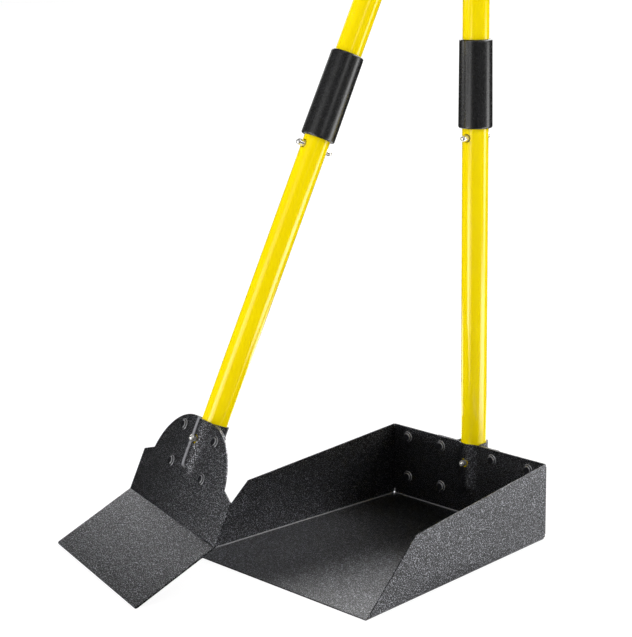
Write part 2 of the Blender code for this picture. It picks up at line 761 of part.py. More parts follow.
def make_end_cap(name, pole, top):
    """A plug in the tube, a collar and dome over its end, and a flat hanging eye."""
    plug = TUBE_RADIUS - TUBE_WALL - SEAT_GAP
    collar_foot = top + SEAT_GAP
    collar_top = collar_foot + CAP_COLLAR_HEIGHT
    profile = [(0, collar_top + CAP_DOME_HEIGHT)]
    for step in range(1, FOLD_STEPS + 1):
        angle = math.radians(90 * (1 - step / FOLD_STEPS))
        across = GRIP_RADIUS * math.cos(angle)
        profile.append((across, collar_top + CAP_DOME_HEIGHT * math.sin(angle)))
    profile += [
        (GRIP_RADIUS, collar_foot),
        (plug, collar_foot),
        (plug, top - CAP_PLUG_LENGTH),
        (0, top - CAP_PLUG_LENGTH),
    ]
    cap = turned_piece(name, profile, BLACK_RUBBER)
    place(cap, pole)
    eye_up = collar_top + CAP_EYE_RISE
    outline = arc((0, eye_up), CAP_EYE_RADIUS, 0, 180, ARC_STEPS)
    outline += [(-CAP_EYE_RADIUS, collar_top), (CAP_EYE_RADIUS, collar_top)]
    eye = add_cutter(name + "_eye", prism(name + "_eye", outline, CAP_EYE_THICKNESS))
    bevel = eye.modifiers.new("soft_edge", "BEVEL")
    bevel.width = CAP_EYE_ROUND
    bevel.segments = 1
    use_boolean(cap, place(eye, pole), "UNION")
    hole = [(0, 0, eye_up, CAP_EYE_HOLE_RADIUS)]
    use_boolean(cap, hole_cutter(name + "_hole", pole, hole, 4 * CAP_EYE_THICKNESS))


def make_handle(prefix, socket, lower_length):
    pole = make_frame(prefix + "_pole_axis", (0, POLE_OFFSET, 0), parent=socket)
    seam = make_lower_tube(prefix + "_lower_tube", pole, lower_length)
    bore = TUBE_RADIUS - TUBE_WALL
    face = make_clip(prefix + "_socket_clip", pole, bore, -SOCKET_BUTTON_DROP)
    make_buttons(prefix + "_socket", pole, face, -SOCKET_BUTTON_DROP)
    top = make_upper_tube(prefix + "_upper_tube", pole, seam)
    joint = seam - JOINT_BUTTON_BELOW_SEAM
    face = make_clip(prefix + "_joint_clip", pole, SWAGE_RADIUS - TUBE_WALL, joint)
    make_buttons(prefix + "_joint", pole, face, joint)
    make_sleeve(prefix + "_joint_sleeve", pole, seam)
    make_grip(prefix + "_grip", pole, top)
    make_end_cap(prefix + "_end_cap", pole, top)


def make_pan_tool():
    socket = make_frame("tray_socket", (0, PAN_BACK_FACE, PAN_WALL_HEIGHT))
    places = pan_rivet_places()
    make_pan(socket, places)
    make_saddle("tray_saddle", socket, places)
    make_rivets("tray", socket, PAN_SHEET, places)
    make_handle("tray", socket, PAN_LOWER_TUBE_LENGTH)


def make_spade_tool():
    rise = BLADE_LOWER_LENGTH * math.sin(BLADE_LOWER_ANGLE)
    lean = BLADE_POLE_ANGLE - QUARTER_TURN
    spade = make_frame("spade", (SPADE_X, SPADE_Y, rise), (lean, 0, SPADE_TURN))
    socket = make_frame("spade_socket", (0, 0, BLADE_UPPER_HEIGHT), parent=spade)
    places = blade_rivet_places()
    shape = prism("blade_outline", blade_outline(), 2 * BLADE_LOWER_LENGTH)
    outline = place(add_cutter("blade_outline", shape), spade)
    make_blade(spade, socket, places, outline)
    make_saddle("spade_saddle", socket, places, outline)
    make_rivets("spade", socket, BLADE_SHEET, places)
    make_handle("spade", socket, SPADE_LOWER_TUBE_LENGTH)


make_pan_tool()
make_spade_tool()
bpy.context.view_layer.update()
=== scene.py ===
import math

import bmesh
import bpy
import numpy as np
from mathutils import Matrix


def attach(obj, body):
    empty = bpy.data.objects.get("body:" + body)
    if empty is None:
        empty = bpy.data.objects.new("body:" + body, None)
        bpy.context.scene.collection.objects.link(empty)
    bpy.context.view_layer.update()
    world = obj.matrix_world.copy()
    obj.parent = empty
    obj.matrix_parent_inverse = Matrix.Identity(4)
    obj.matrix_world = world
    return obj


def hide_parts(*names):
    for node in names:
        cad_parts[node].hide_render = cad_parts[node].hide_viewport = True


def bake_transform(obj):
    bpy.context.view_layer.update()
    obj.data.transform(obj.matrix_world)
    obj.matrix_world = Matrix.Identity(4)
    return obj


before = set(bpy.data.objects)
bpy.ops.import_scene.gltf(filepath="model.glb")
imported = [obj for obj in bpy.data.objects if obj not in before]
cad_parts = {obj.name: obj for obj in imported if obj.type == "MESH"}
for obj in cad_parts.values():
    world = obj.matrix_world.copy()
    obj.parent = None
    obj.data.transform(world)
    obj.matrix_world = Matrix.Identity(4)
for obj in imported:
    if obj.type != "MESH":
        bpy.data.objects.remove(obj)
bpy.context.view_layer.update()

print("frame loaded with", len(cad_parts), "nodes")

# Sizes that several pieces share, in metres
shared = {
    "gap": 0.0003,
    "weld": 0.00002,
    "tubeRadius": 0.0125,
    "tubeWall": 0.0012,
    "axisBehindSheet": 0.0092,
    "bulgeStraight": 0.040,
    "bulgeRun": 0.042,
    "bulgeFillet": 0.024,
    "bulgeSteps": 24,
    "ridgeSteps": 6,
    "cornerSteps": 8,
    "rivetReach": 0.033,
    "buttonDrop": 0.0195,
    "buttonHole": 0.0041,
    "sheetHole": 0.0044,
    "smoothAngle": 40,
}
# How deep each cut goes, in metres; the blade's outline cuts through the whole leaning piece
cutDepth = {
    "sheetHoles": 0.05,
    "outline": 0.3,
    "corners": 0.1,
    "saddleHoles": 0.02,
    "buttonHole": 0.01,
}
gap = shared["gap"]
quarterTurn = math.pi / 2
bulgeRadius = shared["tubeRadius"] + gap
bulgeCentre = shared["axisBehindSheet"] + shared["bulgeFillet"]
bulgeReach = math.sqrt((bulgeRadius + shared["bulgeFillet"]) ** 2 - bulgeCentre ** 2)


# Arrays of points and faces

def gridCells(rows, columns, wrap=False):
    # Corners of each cell of a grid of points; wrap joins the last column to the first.
    index = np.arange(rows * columns).reshape(rows, columns)
    beside = np.roll(index, -1, axis=1)
    cells = np.stack([index[:-1], beside[:-1], beside[1:], index[1:]], axis=-1)
    if not wrap:
        cells = cells[:, :-1]
    return cells.reshape(-1, 4)


def joined(patches):
    # One list of points and one of faces: each patch's numbers start after the last one's.
    points, faces, count = [], [], 0
    for patchPoints, patchFaces in patches:
        points.append(patchPoints)
        faces.append(patchFaces + count)
        count += len(patchPoints)
    return np.concatenate(points), np.concatenate(faces)


def mirrored(points, faces):
    # The same patch with x changed in sign and its faces turned over, added to itself.
    return joined([(points, faces), (points * [-1, 1, 1], faces[:, ::-1])])


def between(start, end, steps):
    return list(np.linspace(start, end, steps + 1)[:-1])


def arcPoints(centre, radius, start, end, steps):
    # Centre plus radius times (cos a, sin a), for angles from start to end in degrees.
    angles = np.radians(np.linspace(start, end, steps + 1))
    return np.array(centre) + radius * np.stack([np.cos(angles), np.sin(angles)], axis=-1)


def rounded(corners, steps=4, closed=False):
    # A line of (across, up, radius) corners, each bent along the curve
    # (1-t)^2 before + 2t(1-t) corner + t^2 after, between points a radius to either side.
    spots = np.array([corner[:2] for corner in corners], float)
    line = []
    share = np.linspace(0, 1, steps + 1)[:, None]
    for number, corner in enumerate(corners):
        radius = corner[2]
        before, after = spots[number - 1], spots[(number + 1) % len(spots)]
        isEnd = not closed and number in (0, len(corners) - 1)
        if radius == 0 or isEnd:
            line.append(spots[number][None])
            continue
        spot = spots[number]
        start = spot + (before - spot) / np.linalg.norm(before - spot) * radius
        end = spot + (after - spot) / np.linalg.norm(after - spot) * radius
        bent = (1 - share) ** 2 * start + 2 * share * (1 - share) * spot + share ** 2 * end
        line.append(bent)
    return np.concatenate(line)


def turned(profile, sides, closed=False):
    # Each (radius, height) of the profile at every angle a: (r cos a, r sin a, height).
    profile = np.asarray(profile)
    if closed:
        profile = np.concatenate([profile, profile[:1]])
    angles = np.arange(sides) * 2 * math.pi / sides
    across = profile[:, :1]
    points = np.stack(
        [across * np.cos(angles), across * np.sin(angles),
         np.repeat(profile[:, 1:], sides, axis=1)], axis=-1)
    return points.reshape(-1, 3), gridCells(len(profile), sides, wrap=True)


def placed(points, place):
    # Local points times the place's three axes, plus its origin.
    origin, axes = place
    return origin + points @ axes.T


def moved(place, x, y, z):
    origin, axes = place
    return origin + axes @ np.array([x, y, z], float), axes


def facing(place, direction):
    # The same place with its own up along one of its horizontals.
    origin, axes = place
    across, back, up = axes.T
    newUp = back * direction
    return origin, np.stack([across, np.cross(newUp, across), newUp], axis=-1)


# Pieces

def added(name, data):
    made = bpy.data.objects.new(name, data)
    bpy.context.scene.collection.objects.link(made)
    return made


def rawObject(name, points, faces, caps=()):
    mesh = bpy.data.meshes.new(name)
    mesh.from_pydata(points.tolist(), [], [*caps, *faces.tolist()])
    return added(name, mesh)


def weld(piece, towards=None):
    # Merges doubles and turns all faces outwards, or the face nearest to a spot along a way.
    bm = bmesh.new()
    bm.from_mesh(piece.data)
    bmesh.ops.remove_doubles(bm, verts=bm.verts, dist=shared["weld"])
    bmesh.ops.dissolve_degenerate(bm, edges=bm.edges, dist=shared["weld"] / 10)
    bmesh.ops.recalc_face_normals(bm, faces=bm.faces)
    bm.normal_update()
    if towards is not None:
        spot, way = towards
        centres = np.array([face.calc_center_median() for face in bm.faces])
        nearest = int(np.argmin(np.linalg.norm(centres - spot, axis=1)))
        bm.faces.ensure_lookup_table()
        if np.dot(np.array(bm.faces[nearest].normal), way) < 0:
            bmesh.ops.reverse_faces(bm, faces=bm.faces)
    bm.to_mesh(piece.data)
    bm.free()


def applied(piece):
    # Swaps the piece's mesh for what its modifiers make of it.
    bpy.context.view_layer.update()
    graph = bpy.context.evaluated_depsgraph_get()
    made = bpy.data.meshes.new_from_object(piece.evaluated_get(graph))
    old = piece.data
    piece.modifiers.clear()
    piece.data = made
    bpy.data.meshes.remove(old)


def boolean(piece, cutter, operation="DIFFERENCE"):
    modifier = piece.modifiers.new("cut", "BOOLEAN")
    modifier.operation = operation
    modifier.object = cutter
    modifier.solver = "EXACT"
    applied(piece)
    bpy.data.objects.remove(cutter)


def softened(piece, width, segments=2):
    # A small round on every sharp edge, then normals that keep flat faces flat.
    if width > 0:
        bevel = piece.modifiers.new("edge", "BEVEL")
        bevel.limit_method = "ANGLE"
        bevel.angle_limit = math.radians(shared["smoothAngle"])
        bevel.width = width
        bevel.segments = segments
        bevel.use_clamp_overlap = False
        applied(piece)
    piece.data.shade_smooth()
    piece.data.set_sharp_from_angle(angle=math.radians(shared["smoothAngle"]))
    weighted = piece.modifiers.new("normals", "WEIGHTED_NORMAL")
    weighted.keep_sharp = True
    applied(piece)


def painted(piece, material, slot, *replaced):
    piece.data.materials.clear()
    piece.data.materials.append(material)
    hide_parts(*replaced)


def dressed(piece, material, body, slot, *replaced):
    painted(piece, material, slot, *replaced)
    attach(piece, body)


# Finishes

def mathWith(operation, swapped=False):
    # An operator of two values: the wire's own comes first or, swapped, second.
    def work(wire, other):
        return wire.worked(operation, *((other, wire) if swapped else (wire, other)))
    return work


class Wire:
    # One socket of a material's nodes. An operator on it puts in the Math node for it.

    def __init__(self, tree, socket=None):
        self.tree, self.socket = tree, socket

    def node(self, kind, settings=None, inputs=None):
        # A node of a type: first its settings, then the values or links of its inputs.
        made = self.tree.nodes.new(kind)
        for name, value in (settings or {}).items():
            setattr(made, name, value)
        for name, value in (inputs or {}).items():
            if isinstance(value, Wire):
                self.tree.links.new(value.socket, made.inputs[name])
            else:
                made.inputs[name].default_value = value
        return Wire(self.tree, made.outputs[0] if made.outputs else None)

    def output(self, name):
        return Wire(self.tree, self.socket.node.outputs[name])

    def worked(self, operation, *values):
        inputs = dict(enumerate(values))
        return self.node("ShaderNodeMath", {"operation": operation}, inputs)

    __add__ = mathWith("ADD")
    __radd__ = mathWith("ADD", swapped=True)
    __sub__ = mathWith("SUBTRACT")
    __rsub__ = mathWith("SUBTRACT", swapped=True)
    __mul__ = mathWith("MULTIPLY")
    __truediv__ = mathWith("DIVIDE")
    __pow__ = mathWith("POWER")

    def spread(self, low, high, lowTo=0.0, highTo=1.0):
        # Low to high run smoothly to new ends, and level off beyond them.
        return self.node("ShaderNodeMapRange", {"interpolation_type": "SMOOTHSTEP"}, {
            "Value": self, "From Min": low, "From Max": high,
            "To Min": lowTo, "To Max": highTo})

    def varied(self, low=0.0, high=1.0):
        # A noise's middle range, run to low and high.
        return self.spread(0.3, 0.7, low, high)

    def mixed(self, first, second):
        # This wire blends one colour into another.
        made = self.node("ShaderNodeMix", {"data_type": "RGBA"},
                         {0: self, 6: first, 7: second})
        return Wire(self.tree, made.socket.node.outputs[2])

    def noise(self, scale, detail=2.0, roughness=0.5):
        # Noise on this wire's coordinates, so many waves to the metre.
        return self.node("ShaderNodeTexNoise", None, {
            "Vector": self, "Scale": scale, "Detail": detail, "Roughness": roughness})

    def along(self, origin, way):
        # How far this wire's point lies from the origin along a direction.
        offset = self.node("ShaderNodeVectorMath", {"operation": "SUBTRACT"},
                           {0: self, 1: tuple(origin)})
        made = self.node("ShaderNodeVectorMath", {"operation": "DOT_PRODUCT"},
                         {0: offset, 1: tuple(way)})
        return made.output("Value")

    def bump(self, height, under=None):
        inputs = {"Height": self, "Distance": height}
        if under is not None:
            inputs["Normal"] = under
        return self.node("ShaderNodeBump", None, inputs)


def emptied(owner):
    # The cleared nodes of a material or a world.
    owner.use_nodes = True
    owner.node_tree.nodes.clear()
    return Wire(owner.node_tree)


def startMaterial(name):
    # An empty material and its object coordinates.
    material = bpy.data.materials.new(name)
    return material, emptied(material).node("ShaderNodeTexCoord").output("Object")


def surface(material, inputs):
    # A Principled surface with these inputs on the material's output.
    wire = Wire(material.node_tree)
    shader = wire.node("ShaderNodeBsdfPrincipled", None, inputs)
    wire.node("ShaderNodeOutputMaterial", None, {"Surface": shader})
    return material


def colour(red, green, blue):
    return (red, green, blue, 1)


hammerLook = {
    "deep": colour(0.0045, 0.0047, 0.0055),
    "light": colour(0.42, 0.425, 0.46),
    # seam is the light grey of painted highlight bands; their pebbles flatten to the level
    # below
    "seam": colour(0.15, 0.15, 0.16),
    "pebbles": 700,
    "pebbleHeight": 0.00030,
    "highlightPebbleLevel": 0.5,
    "flakes": 1150,
    "metalRange": (0.48, 0.56),
    "flakeRange": (0.54, 0.66),
    "patches": 14,
    "patchShine": (0.8, 1.0),
    "smears": 300,
    "roughness": (0.34, 0.46),
    "specular": 0.5,
}
# The blade's seam colour is the light grey of the painted highlight on the half-round's flank.
bladeLook = dict(hammerLook, pebbles=680, flakes=1050, pebbleHeight=0.00038,
                 light=colour(0.55, 0.555, 0.60), roughness=(0.28, 0.38),
                 seam=colour(0.22, 0.22, 0.235))


def hammeredMaterial(name, look, slowWay=None, highlightBands=None):
    # Black paint that dried in small pebbles, with bright flakes strewn over them. A sheet
    # that isn't quite flat hands in its own slow normals, and one with painted highlights their
    # mask.
    material, spot = startMaterial(name)
    pebbles = spot.noise(look["pebbles"], roughness=0.6)
    grain = spot.noise(look["flakes"], detail=1.0)
    metal = grain.spread(*look["metalRange"])
    patches = spot.noise(look["patches"], 3.0, 0.6).varied(*look["patchShine"])
    shine = grain.spread(*look["flakeRange"]) * patches
    roughness = spot.noise(look["smears"]).varied(*look["roughness"])
    under = slowWay(spot) if slowWay else None
    paint = shine.mixed(look["deep"], look["light"])
    # Painted highlight: in the mask's bands the colour turns light grey, the flakes lose their
    # metal and the pebbles flatten to one level.
    if highlightBands:
        highlight = highlightBands(spot)
        paint = highlight.mixed(paint, look["seam"])
        metal = metal * (1 - highlight)
        pebbles = pebbles * (1 - highlight) + highlight * look["highlightPebbleLevel"]
    return surface(material, {
        "Base Color": paint,
        "Metallic": metal, "Roughness": roughness,
        "Normal": pebbles.bump(look["pebbleHeight"], under),
        "Specular IOR Level": look["specular"]})


rivetLook = {
    "deep": colour(0.004, 0.004, 0.005),
    "dusty": colour(0.016, 0.016, 0.018),
    # A painted highlight: the light grey of the rings on the heads.
    "highlight": colour(0.24, 0.24, 0.25),
    "dust": 1200,
    "dustRange": (0.4, 0.7),
    "smears": 500,
    "ripples": 900,
    "rippleHeight": 0.00001,
    "roughness": (0.10, 0.18),
    "specular": 0.9,
}


def rivetMaterial():
    # The same black paint, thinner and smoother on the small turned heads, with painted
    # highlight rings in light grey where the piece's own attribute of them says.
    look = rivetLook
    material, spot = startMaterial("rivetPaint")
    highlight = spot.node("ShaderNodeAttribute", {"attribute_name": "highlight"}).output("Fac")
    dust = spot.noise(look["dust"]).spread(*look["dustRange"])
    paint = dust.mixed(look["deep"], look["dusty"])
    return surface(material, {
        "Base Color": highlight.mixed(paint, look["highlight"]),
        "Roughness": spot.noise(look["smears"]).varied(*look["roughness"]),
        "Normal": spot.noise(look["ripples"]).bump(look["rippleHeight"]),
        "Specular IOR Level": look["specular"]})


yellowLook = {
    "base": colour(0.93, 0.725, 0.0015),
    "thick": colour(0.91, 0.695, 0.001),
    "cover": 35,
    "smears": 60,
    "peel": 260,
    "peelHeight": 0.000002,
    "specular": 0.55,
    "roughness": (0.07, 0.11),
}


def yellowMaterial():
    # Glossy yellow enamel: faint orange peel, and a little unevenness in its cover.
    look = yellowLook
    material, spot = startMaterial("yellowEnamel")
    cover = spot.noise(look["cover"], detail=3.0).varied()
    return surface(material, {
        "Base Color": cover.mixed(look["thick"], look["base"]),
        "Roughness": spot.noise(look["smears"]).varied(*look["roughness"]),
        "Normal": spot.noise(look["peel"]).bump(look["peelHeight"]),
        "Specular IOR Level": look["specular"]})


sleeveLook = {
    "deep": colour(0.013, 0.013, 0.013),
    "light": colour(0.016, 0.016, 0.017),
    "flow": 420,
    "flowAlongPole": 0.08,
    "flowRange": (0.35, 0.7),
    "flowHeight": 0.0000015,
    "smears": 250,
    "roughness": (0.24, 0.28),
    "specular": 0.7,
}


def sleeveMaterial():
    # Satin black plastic with faint flow lines along the pole.
    look = sleeveLook
    material, spot = startMaterial("sleevePlastic")
    lines = spot.node("ShaderNodeMapping", None, {
        "Vector": spot, "Scale": (1, 1, look["flowAlongPole"])})
    flow = lines.noise(look["flow"])
    return surface(material, {
        "Base Color": flow.spread(*look["flowRange"]).mixed(look["deep"], look["light"]),
        "Roughness": spot.noise(look["smears"]).varied(*look["roughness"]),
        "Normal": flow.bump(look["flowHeight"]),
        "Specular IOR Level": look["specular"]})


steelLook = {
    "clean": (1.0, 0.985, 0.95),
    "handled": (0.86, 0.84, 0.8),
    "marksRange": (0.35, 0.7),
    "roughShare": (0.8, 1.3),
}
rubberLook = {
    "deep": (0.7, 0.7, 0.7),
    "light": (1.0, 1.0, 1.05),
    "poresRange": (0.35, 0.7),
    "rougher": 0.1,
}


def tinted(shade, tint):
    return colour(*(shade * part for part in tint))


def steelMaterial(name, shade, roughness, scratches, metallic=1.0):
    # Plated steel with fine handling marks. A metallic value below 1 dulls the plating.
    look = steelLook
    material, spot = startMaterial(name)
    marks = spot.noise(scratches, detail=3.0, roughness=0.65)
    steel = marks.spread(*look["marksRange"]).mixed(
        tinted(shade, look["clean"]), tinted(shade, look["handled"]))
    low, high = look["roughShare"]
    return surface(material, {
        "Base Color": steel, "Metallic": metallic,
        "Roughness": marks.varied(roughness * low, roughness * high)})


def rubberMaterial(name, shade, roughness, grain, height):
    # Matt black rubber or plastic with a fine even grain.
    look = rubberLook
    material, spot = startMaterial(name)
    pores = spot.noise(grain, detail=3.0, roughness=0.6)
    black = pores.spread(*look["poresRange"]).mixed(
        tinted(shade, look["deep"]), tinted(shade, look["light"]))
    return surface(material, {
        "Base Color": black,
        "Roughness": pores.varied(roughness, roughness + look["rougher"]),
        "Normal": pores.bump(height)})


hammered = hammeredMaterial("hammeredPaint", hammerLook)
rivetPaint = rivetMaterial()
yellowEnamel = yellowMaterial()
sleevePlastic = sleeveMaterial()
buttonSteel = steelMaterial("buttonSteel", shade=0.88, roughness=0.14, scratches=900,
                            metallic=0.78)
springSteel = steelMaterial("springSteel", shade=0.55, roughness=0.28, scratches=600)
gripRubber = rubberMaterial("gripRubber", shade=0.022, roughness=0.62, grain=1400,
                            height=0.00008)
capPlastic = rubberMaterial("capPlastic", shade=0.025, roughness=0.38, grain=900,
                            height=0.00002)
print("finishes made")


# Where the tools stand

pan = {
    "sheet": 0.0012,
    "length": 0.2594,
    "backWidth": 0.1967,
    "mouthWidth": 0.2255,
    "wallHeight": 0.075,
    "breakHeight": 0.0584,
    "breakFromBack": 0.1939,
    "mouthLip": 0.002,
    "foldRadius": 0.0023,
    "cornerRelief": 0.0002,
    "tabWidth": 0.034,
    "tabDrop": 0.003,
    "tabChamfer": 0.008,
    "foldSteps": 8,
    "frontSteps": 3,
    "rearSteps": 6,
    "backSteps": 4,
    "edgeRound": 0.0002,
    "rivetDrop": 0.010,
    "rivetSpacing": 0.042,
    "tabRivetInset": 0.0205,
    # Width of the painted highlight lines along the inner folds: full inside the first, none
    # past the second.
    "highlightLine": (0.0003, 0.0010),
    "lowerTube": 0.377,
}
blade = {
    "sheet": 0.0015,
    "width": 0.1881,
    "lowerLength": 0.0879,
    "upperHeight": 0.0956,
    "bendRadius": 0.003,
    "lowerAngle": math.radians(27.9),
    "poleAngle": math.radians(66.1),
    "shoulderHeight": 0.042,
    "headWidth": 0.151,
    "headFoot": 0.0485,
    "headRadius": 0.062,
    "headSteps": 28,
    "cornerRadius": 0.0025,
    "foldSteps": 8,
    "plateSteps": 4,
    "sideSteps": 3,
    "edgeRound": 0.00025,
    "standsAt": (-0.1199, -0.1500),
    "turn": math.radians(-15.2),
    "rivetDrop": 0.0135,
    "rivetSpacing": 0.0362,
    "lowerTube": 0.348,
    "outlinePast": 0.002,
    "bowRadius": 0.75,
    "curlRadius": 0.5,
    "bowChange": 0.001,
    "flankBand": (0.0052, 0.0145, 0.0006),
}


def leaningAxes(lean, turn):
    # A lean about X and then a turn about Z, as three columns.
    leaned = np.array([[1, 0, 0],
                       [0, math.cos(lean), -math.sin(lean)],
                       [0, math.sin(lean), math.cos(lean)]])
    spun = np.array([[math.cos(turn), -math.sin(turn), 0],
                     [math.sin(turn), math.cos(turn), 0],
                     [0, 0, 1]])
    return spun @ leaned


panBackFace = pan["length"] / 2 - pan["sheet"] - gap
traySocket = (np.array([0, panBackFace, pan["wallHeight"]]), np.eye(3))
spadeRise = blade["lowerLength"] * math.sin(blade["lowerAngle"])
spadePlace = (
    np.array([*blade["standsAt"], spadeRise]),
    leaningAxes(blade["poleAngle"] - quarterTurn, blade["turn"]),
)
spadeSocket = moved(spadePlace, 0, 0, blade["upperHeight"])


def bladeWay(spot):
    # The blade's sheet isn't quite flat. Its upper plate bows towards the front from side to
    # side, and its lower plate curls down towards the edge: each height is the distance squared
    # over twice the radius.
    origin, axes = spadePlace
    across = spot.along(origin, axes[:, 0])
    up = spot.along(origin, axes[:, 2])
    bowed = (across * across * (-0.5 / blade["bowRadius"])).bump(1.0)
    curled = (up * up * (-0.5 / blade["curlRadius"])).bump(1.0)
    return up.spread(-blade["bowChange"], blade["bowChange"]).mixed(curled, bowed)


def bladeFlankHighlight(spot):
    # A painted highlight on the left flank of the half-round, where its pebbles are smoothed
    # too:
    # a band between two distances from the ridge line or from its rounded foot.
    origin, axes = spadeSocket
    across = spot.along(origin, axes[:, 0])
    up = spot.along(origin, axes[:, 2])
    below = spot.worked("MAXIMUM", 0, 0 - up - shared["bulgeRun"])
    away = (across * across + below * below) ** 0.5
    nearest, farthest, soft = blade["flankBand"]
    band = away.spread(nearest - soft, nearest + soft)
    band = band * away.spread(farthest + soft, farthest - soft)
    return band * across.spread(soft, -soft) * below.spread(farthest / 2, nearest)


bladePaint = hammeredMaterial("bladePaint", bladeLook, bladeWay, bladeFlankHighlight)


# Folded sheets

def foldOver(points, start, beyond, radius, angle):
    # A point past the line by d turns by t = min(d / radius, angle): it moves to
    # radius sin t + rest cos t along and radius (1 - cos t) + rest sin t up.
    past = (points - start) @ beyond
    turn = np.clip(past / radius, 0, angle)
    rest = past - turn * radius
    height = points[:, 2]
    reach = radius * np.sin(turn) + (rest * np.cos(turn) - height * np.sin(turn))
    lift = radius * (1 - np.cos(turn)) + rest * np.sin(turn) + height * (np.cos(turn) - 1)
    bent = points + np.outer(reach - past, beyond)
    bent[:, 2] += lift
    return np.where((past > 0)[:, None], bent, points)


def pressed(points, top):
    # Adds the half-round's height: a circle about the tube's axis, run out by a fillet,
    # as a function of the distance from the ridge line or from its rounded foot.
    below = np.maximum(0, top - points[:, 1] - shared["bulgeRun"])
    away = np.hypot(points[:, 0], below)
    fillet = shared["bulgeFillet"]
    tangent = bulgeReach * bulgeRadius / (bulgeRadius + fillet)
    crown = np.sqrt(np.maximum(0, bulgeRadius ** 2 - away ** 2)) - shared["axisBehindSheet"]
    foot = fillet - np.sqrt(np.maximum(0, fillet ** 2 - (bulgeReach - away) ** 2))
    height = np.where(away <= tangent, crown, np.where(away < bulgeReach, foot, 0))
    lifted = points.copy()
    lifted[:, 2] += height
    return lifted


def bulgeRows(top):
    # Lines across the half-round, close together round its foot.
    foot = top - shared["bulgeRun"]
    rows = between(foot - bulgeReach, foot, shared["bulgeSteps"])
    return rows + between(foot, top, shared["ridgeSteps"]) + [top]


def flatGrid(columns, rows):
    # Every column's x with every row's y, flat.
    across, along = np.meshgrid(columns, rows)
    points = np.stack([across.ravel(), along.ravel(), np.zeros(across.size)], axis=-1)
    return points, gridCells(len(rows), len(columns))


def barCutter(name, place, spots, depth, sides=32):
    # Round bars along the place's own Y, at each (x, y, z, radius).
    patches = []
    for x, y, z, radius in spots:
        profile = [(0, depth / 2), (radius, depth / 2), (radius, -depth / 2), (0, -depth / 2)]
        points, faces = turned(profile, sides)
        patches.append((placed(points, facing(moved(place, x, y, z), 1)), faces))
    cutter = rawObject(name, *joined(patches))
    weld(cutter)
    return cutter


def prismCutter(name, place, outline, depth):
    # An outline across X and up Z, pulled out to both sides along Y.
    count = len(outline)
    outline = np.asarray(outline)
    front = np.stack([outline[:, 0], np.full(count, -depth / 2), outline[:, 1]], axis=-1)
    rear = front * [1, -1, 1]
    points = placed(np.concatenate([front, rear]), place)
    index = np.arange(count)
    beside = (index + 1) % count
    sides = np.stack([index, beside, beside + count, index + count], axis=-1)
    caps = [index.tolist(), (index[::-1] + count).tolist()]
    cutter = rawObject(name, points, sides, caps)
    weld(cutter)
    return cutter


def thickened(piece, thickness, offset):
    solidify = piece.modifiers.new("sheet", "SOLIDIFY")
    solidify.thickness = thickness
    solidify.offset = offset
    solidify.use_even_offset = True
    applied(piece)


def panSide(y):
    # Half the floor's width where the side wall's fold starts, at a place along the pan.
    share = (pan["length"] / 2 - y) / pan["length"]
    half = (pan["backWidth"] + (pan["mouthWidth"] - pan["backWidth"]) * share) / 2
    return half - pan["foldRadius"] / math.cos(panSplay)


def clippedWall(rows, lines, lowest, highest):
    # A grid with each line's distance kept between the outline's lowest and highest.
    along, out = np.meshgrid(rows, lines, indexing="ij")
    out = np.clip(out, lowest[:, None], highest[:, None])
    origin = np.array([panSide(-pan["length"] / 2), -pan["length"] / 2, 0])
    points = origin + along.ravel()[:, None] * wallAlong + out.ravel()[:, None] * wallOut
    return points, gridCells(len(rows), len(lines))


panSplay = math.atan2((pan["mouthWidth"] - pan["backWidth"]) / 2, pan["length"])
wallAlong = np.array([-math.sin(panSplay), math.cos(panSplay), 0])
wallOut = np.array([math.cos(panSplay), math.sin(panSplay), 0])


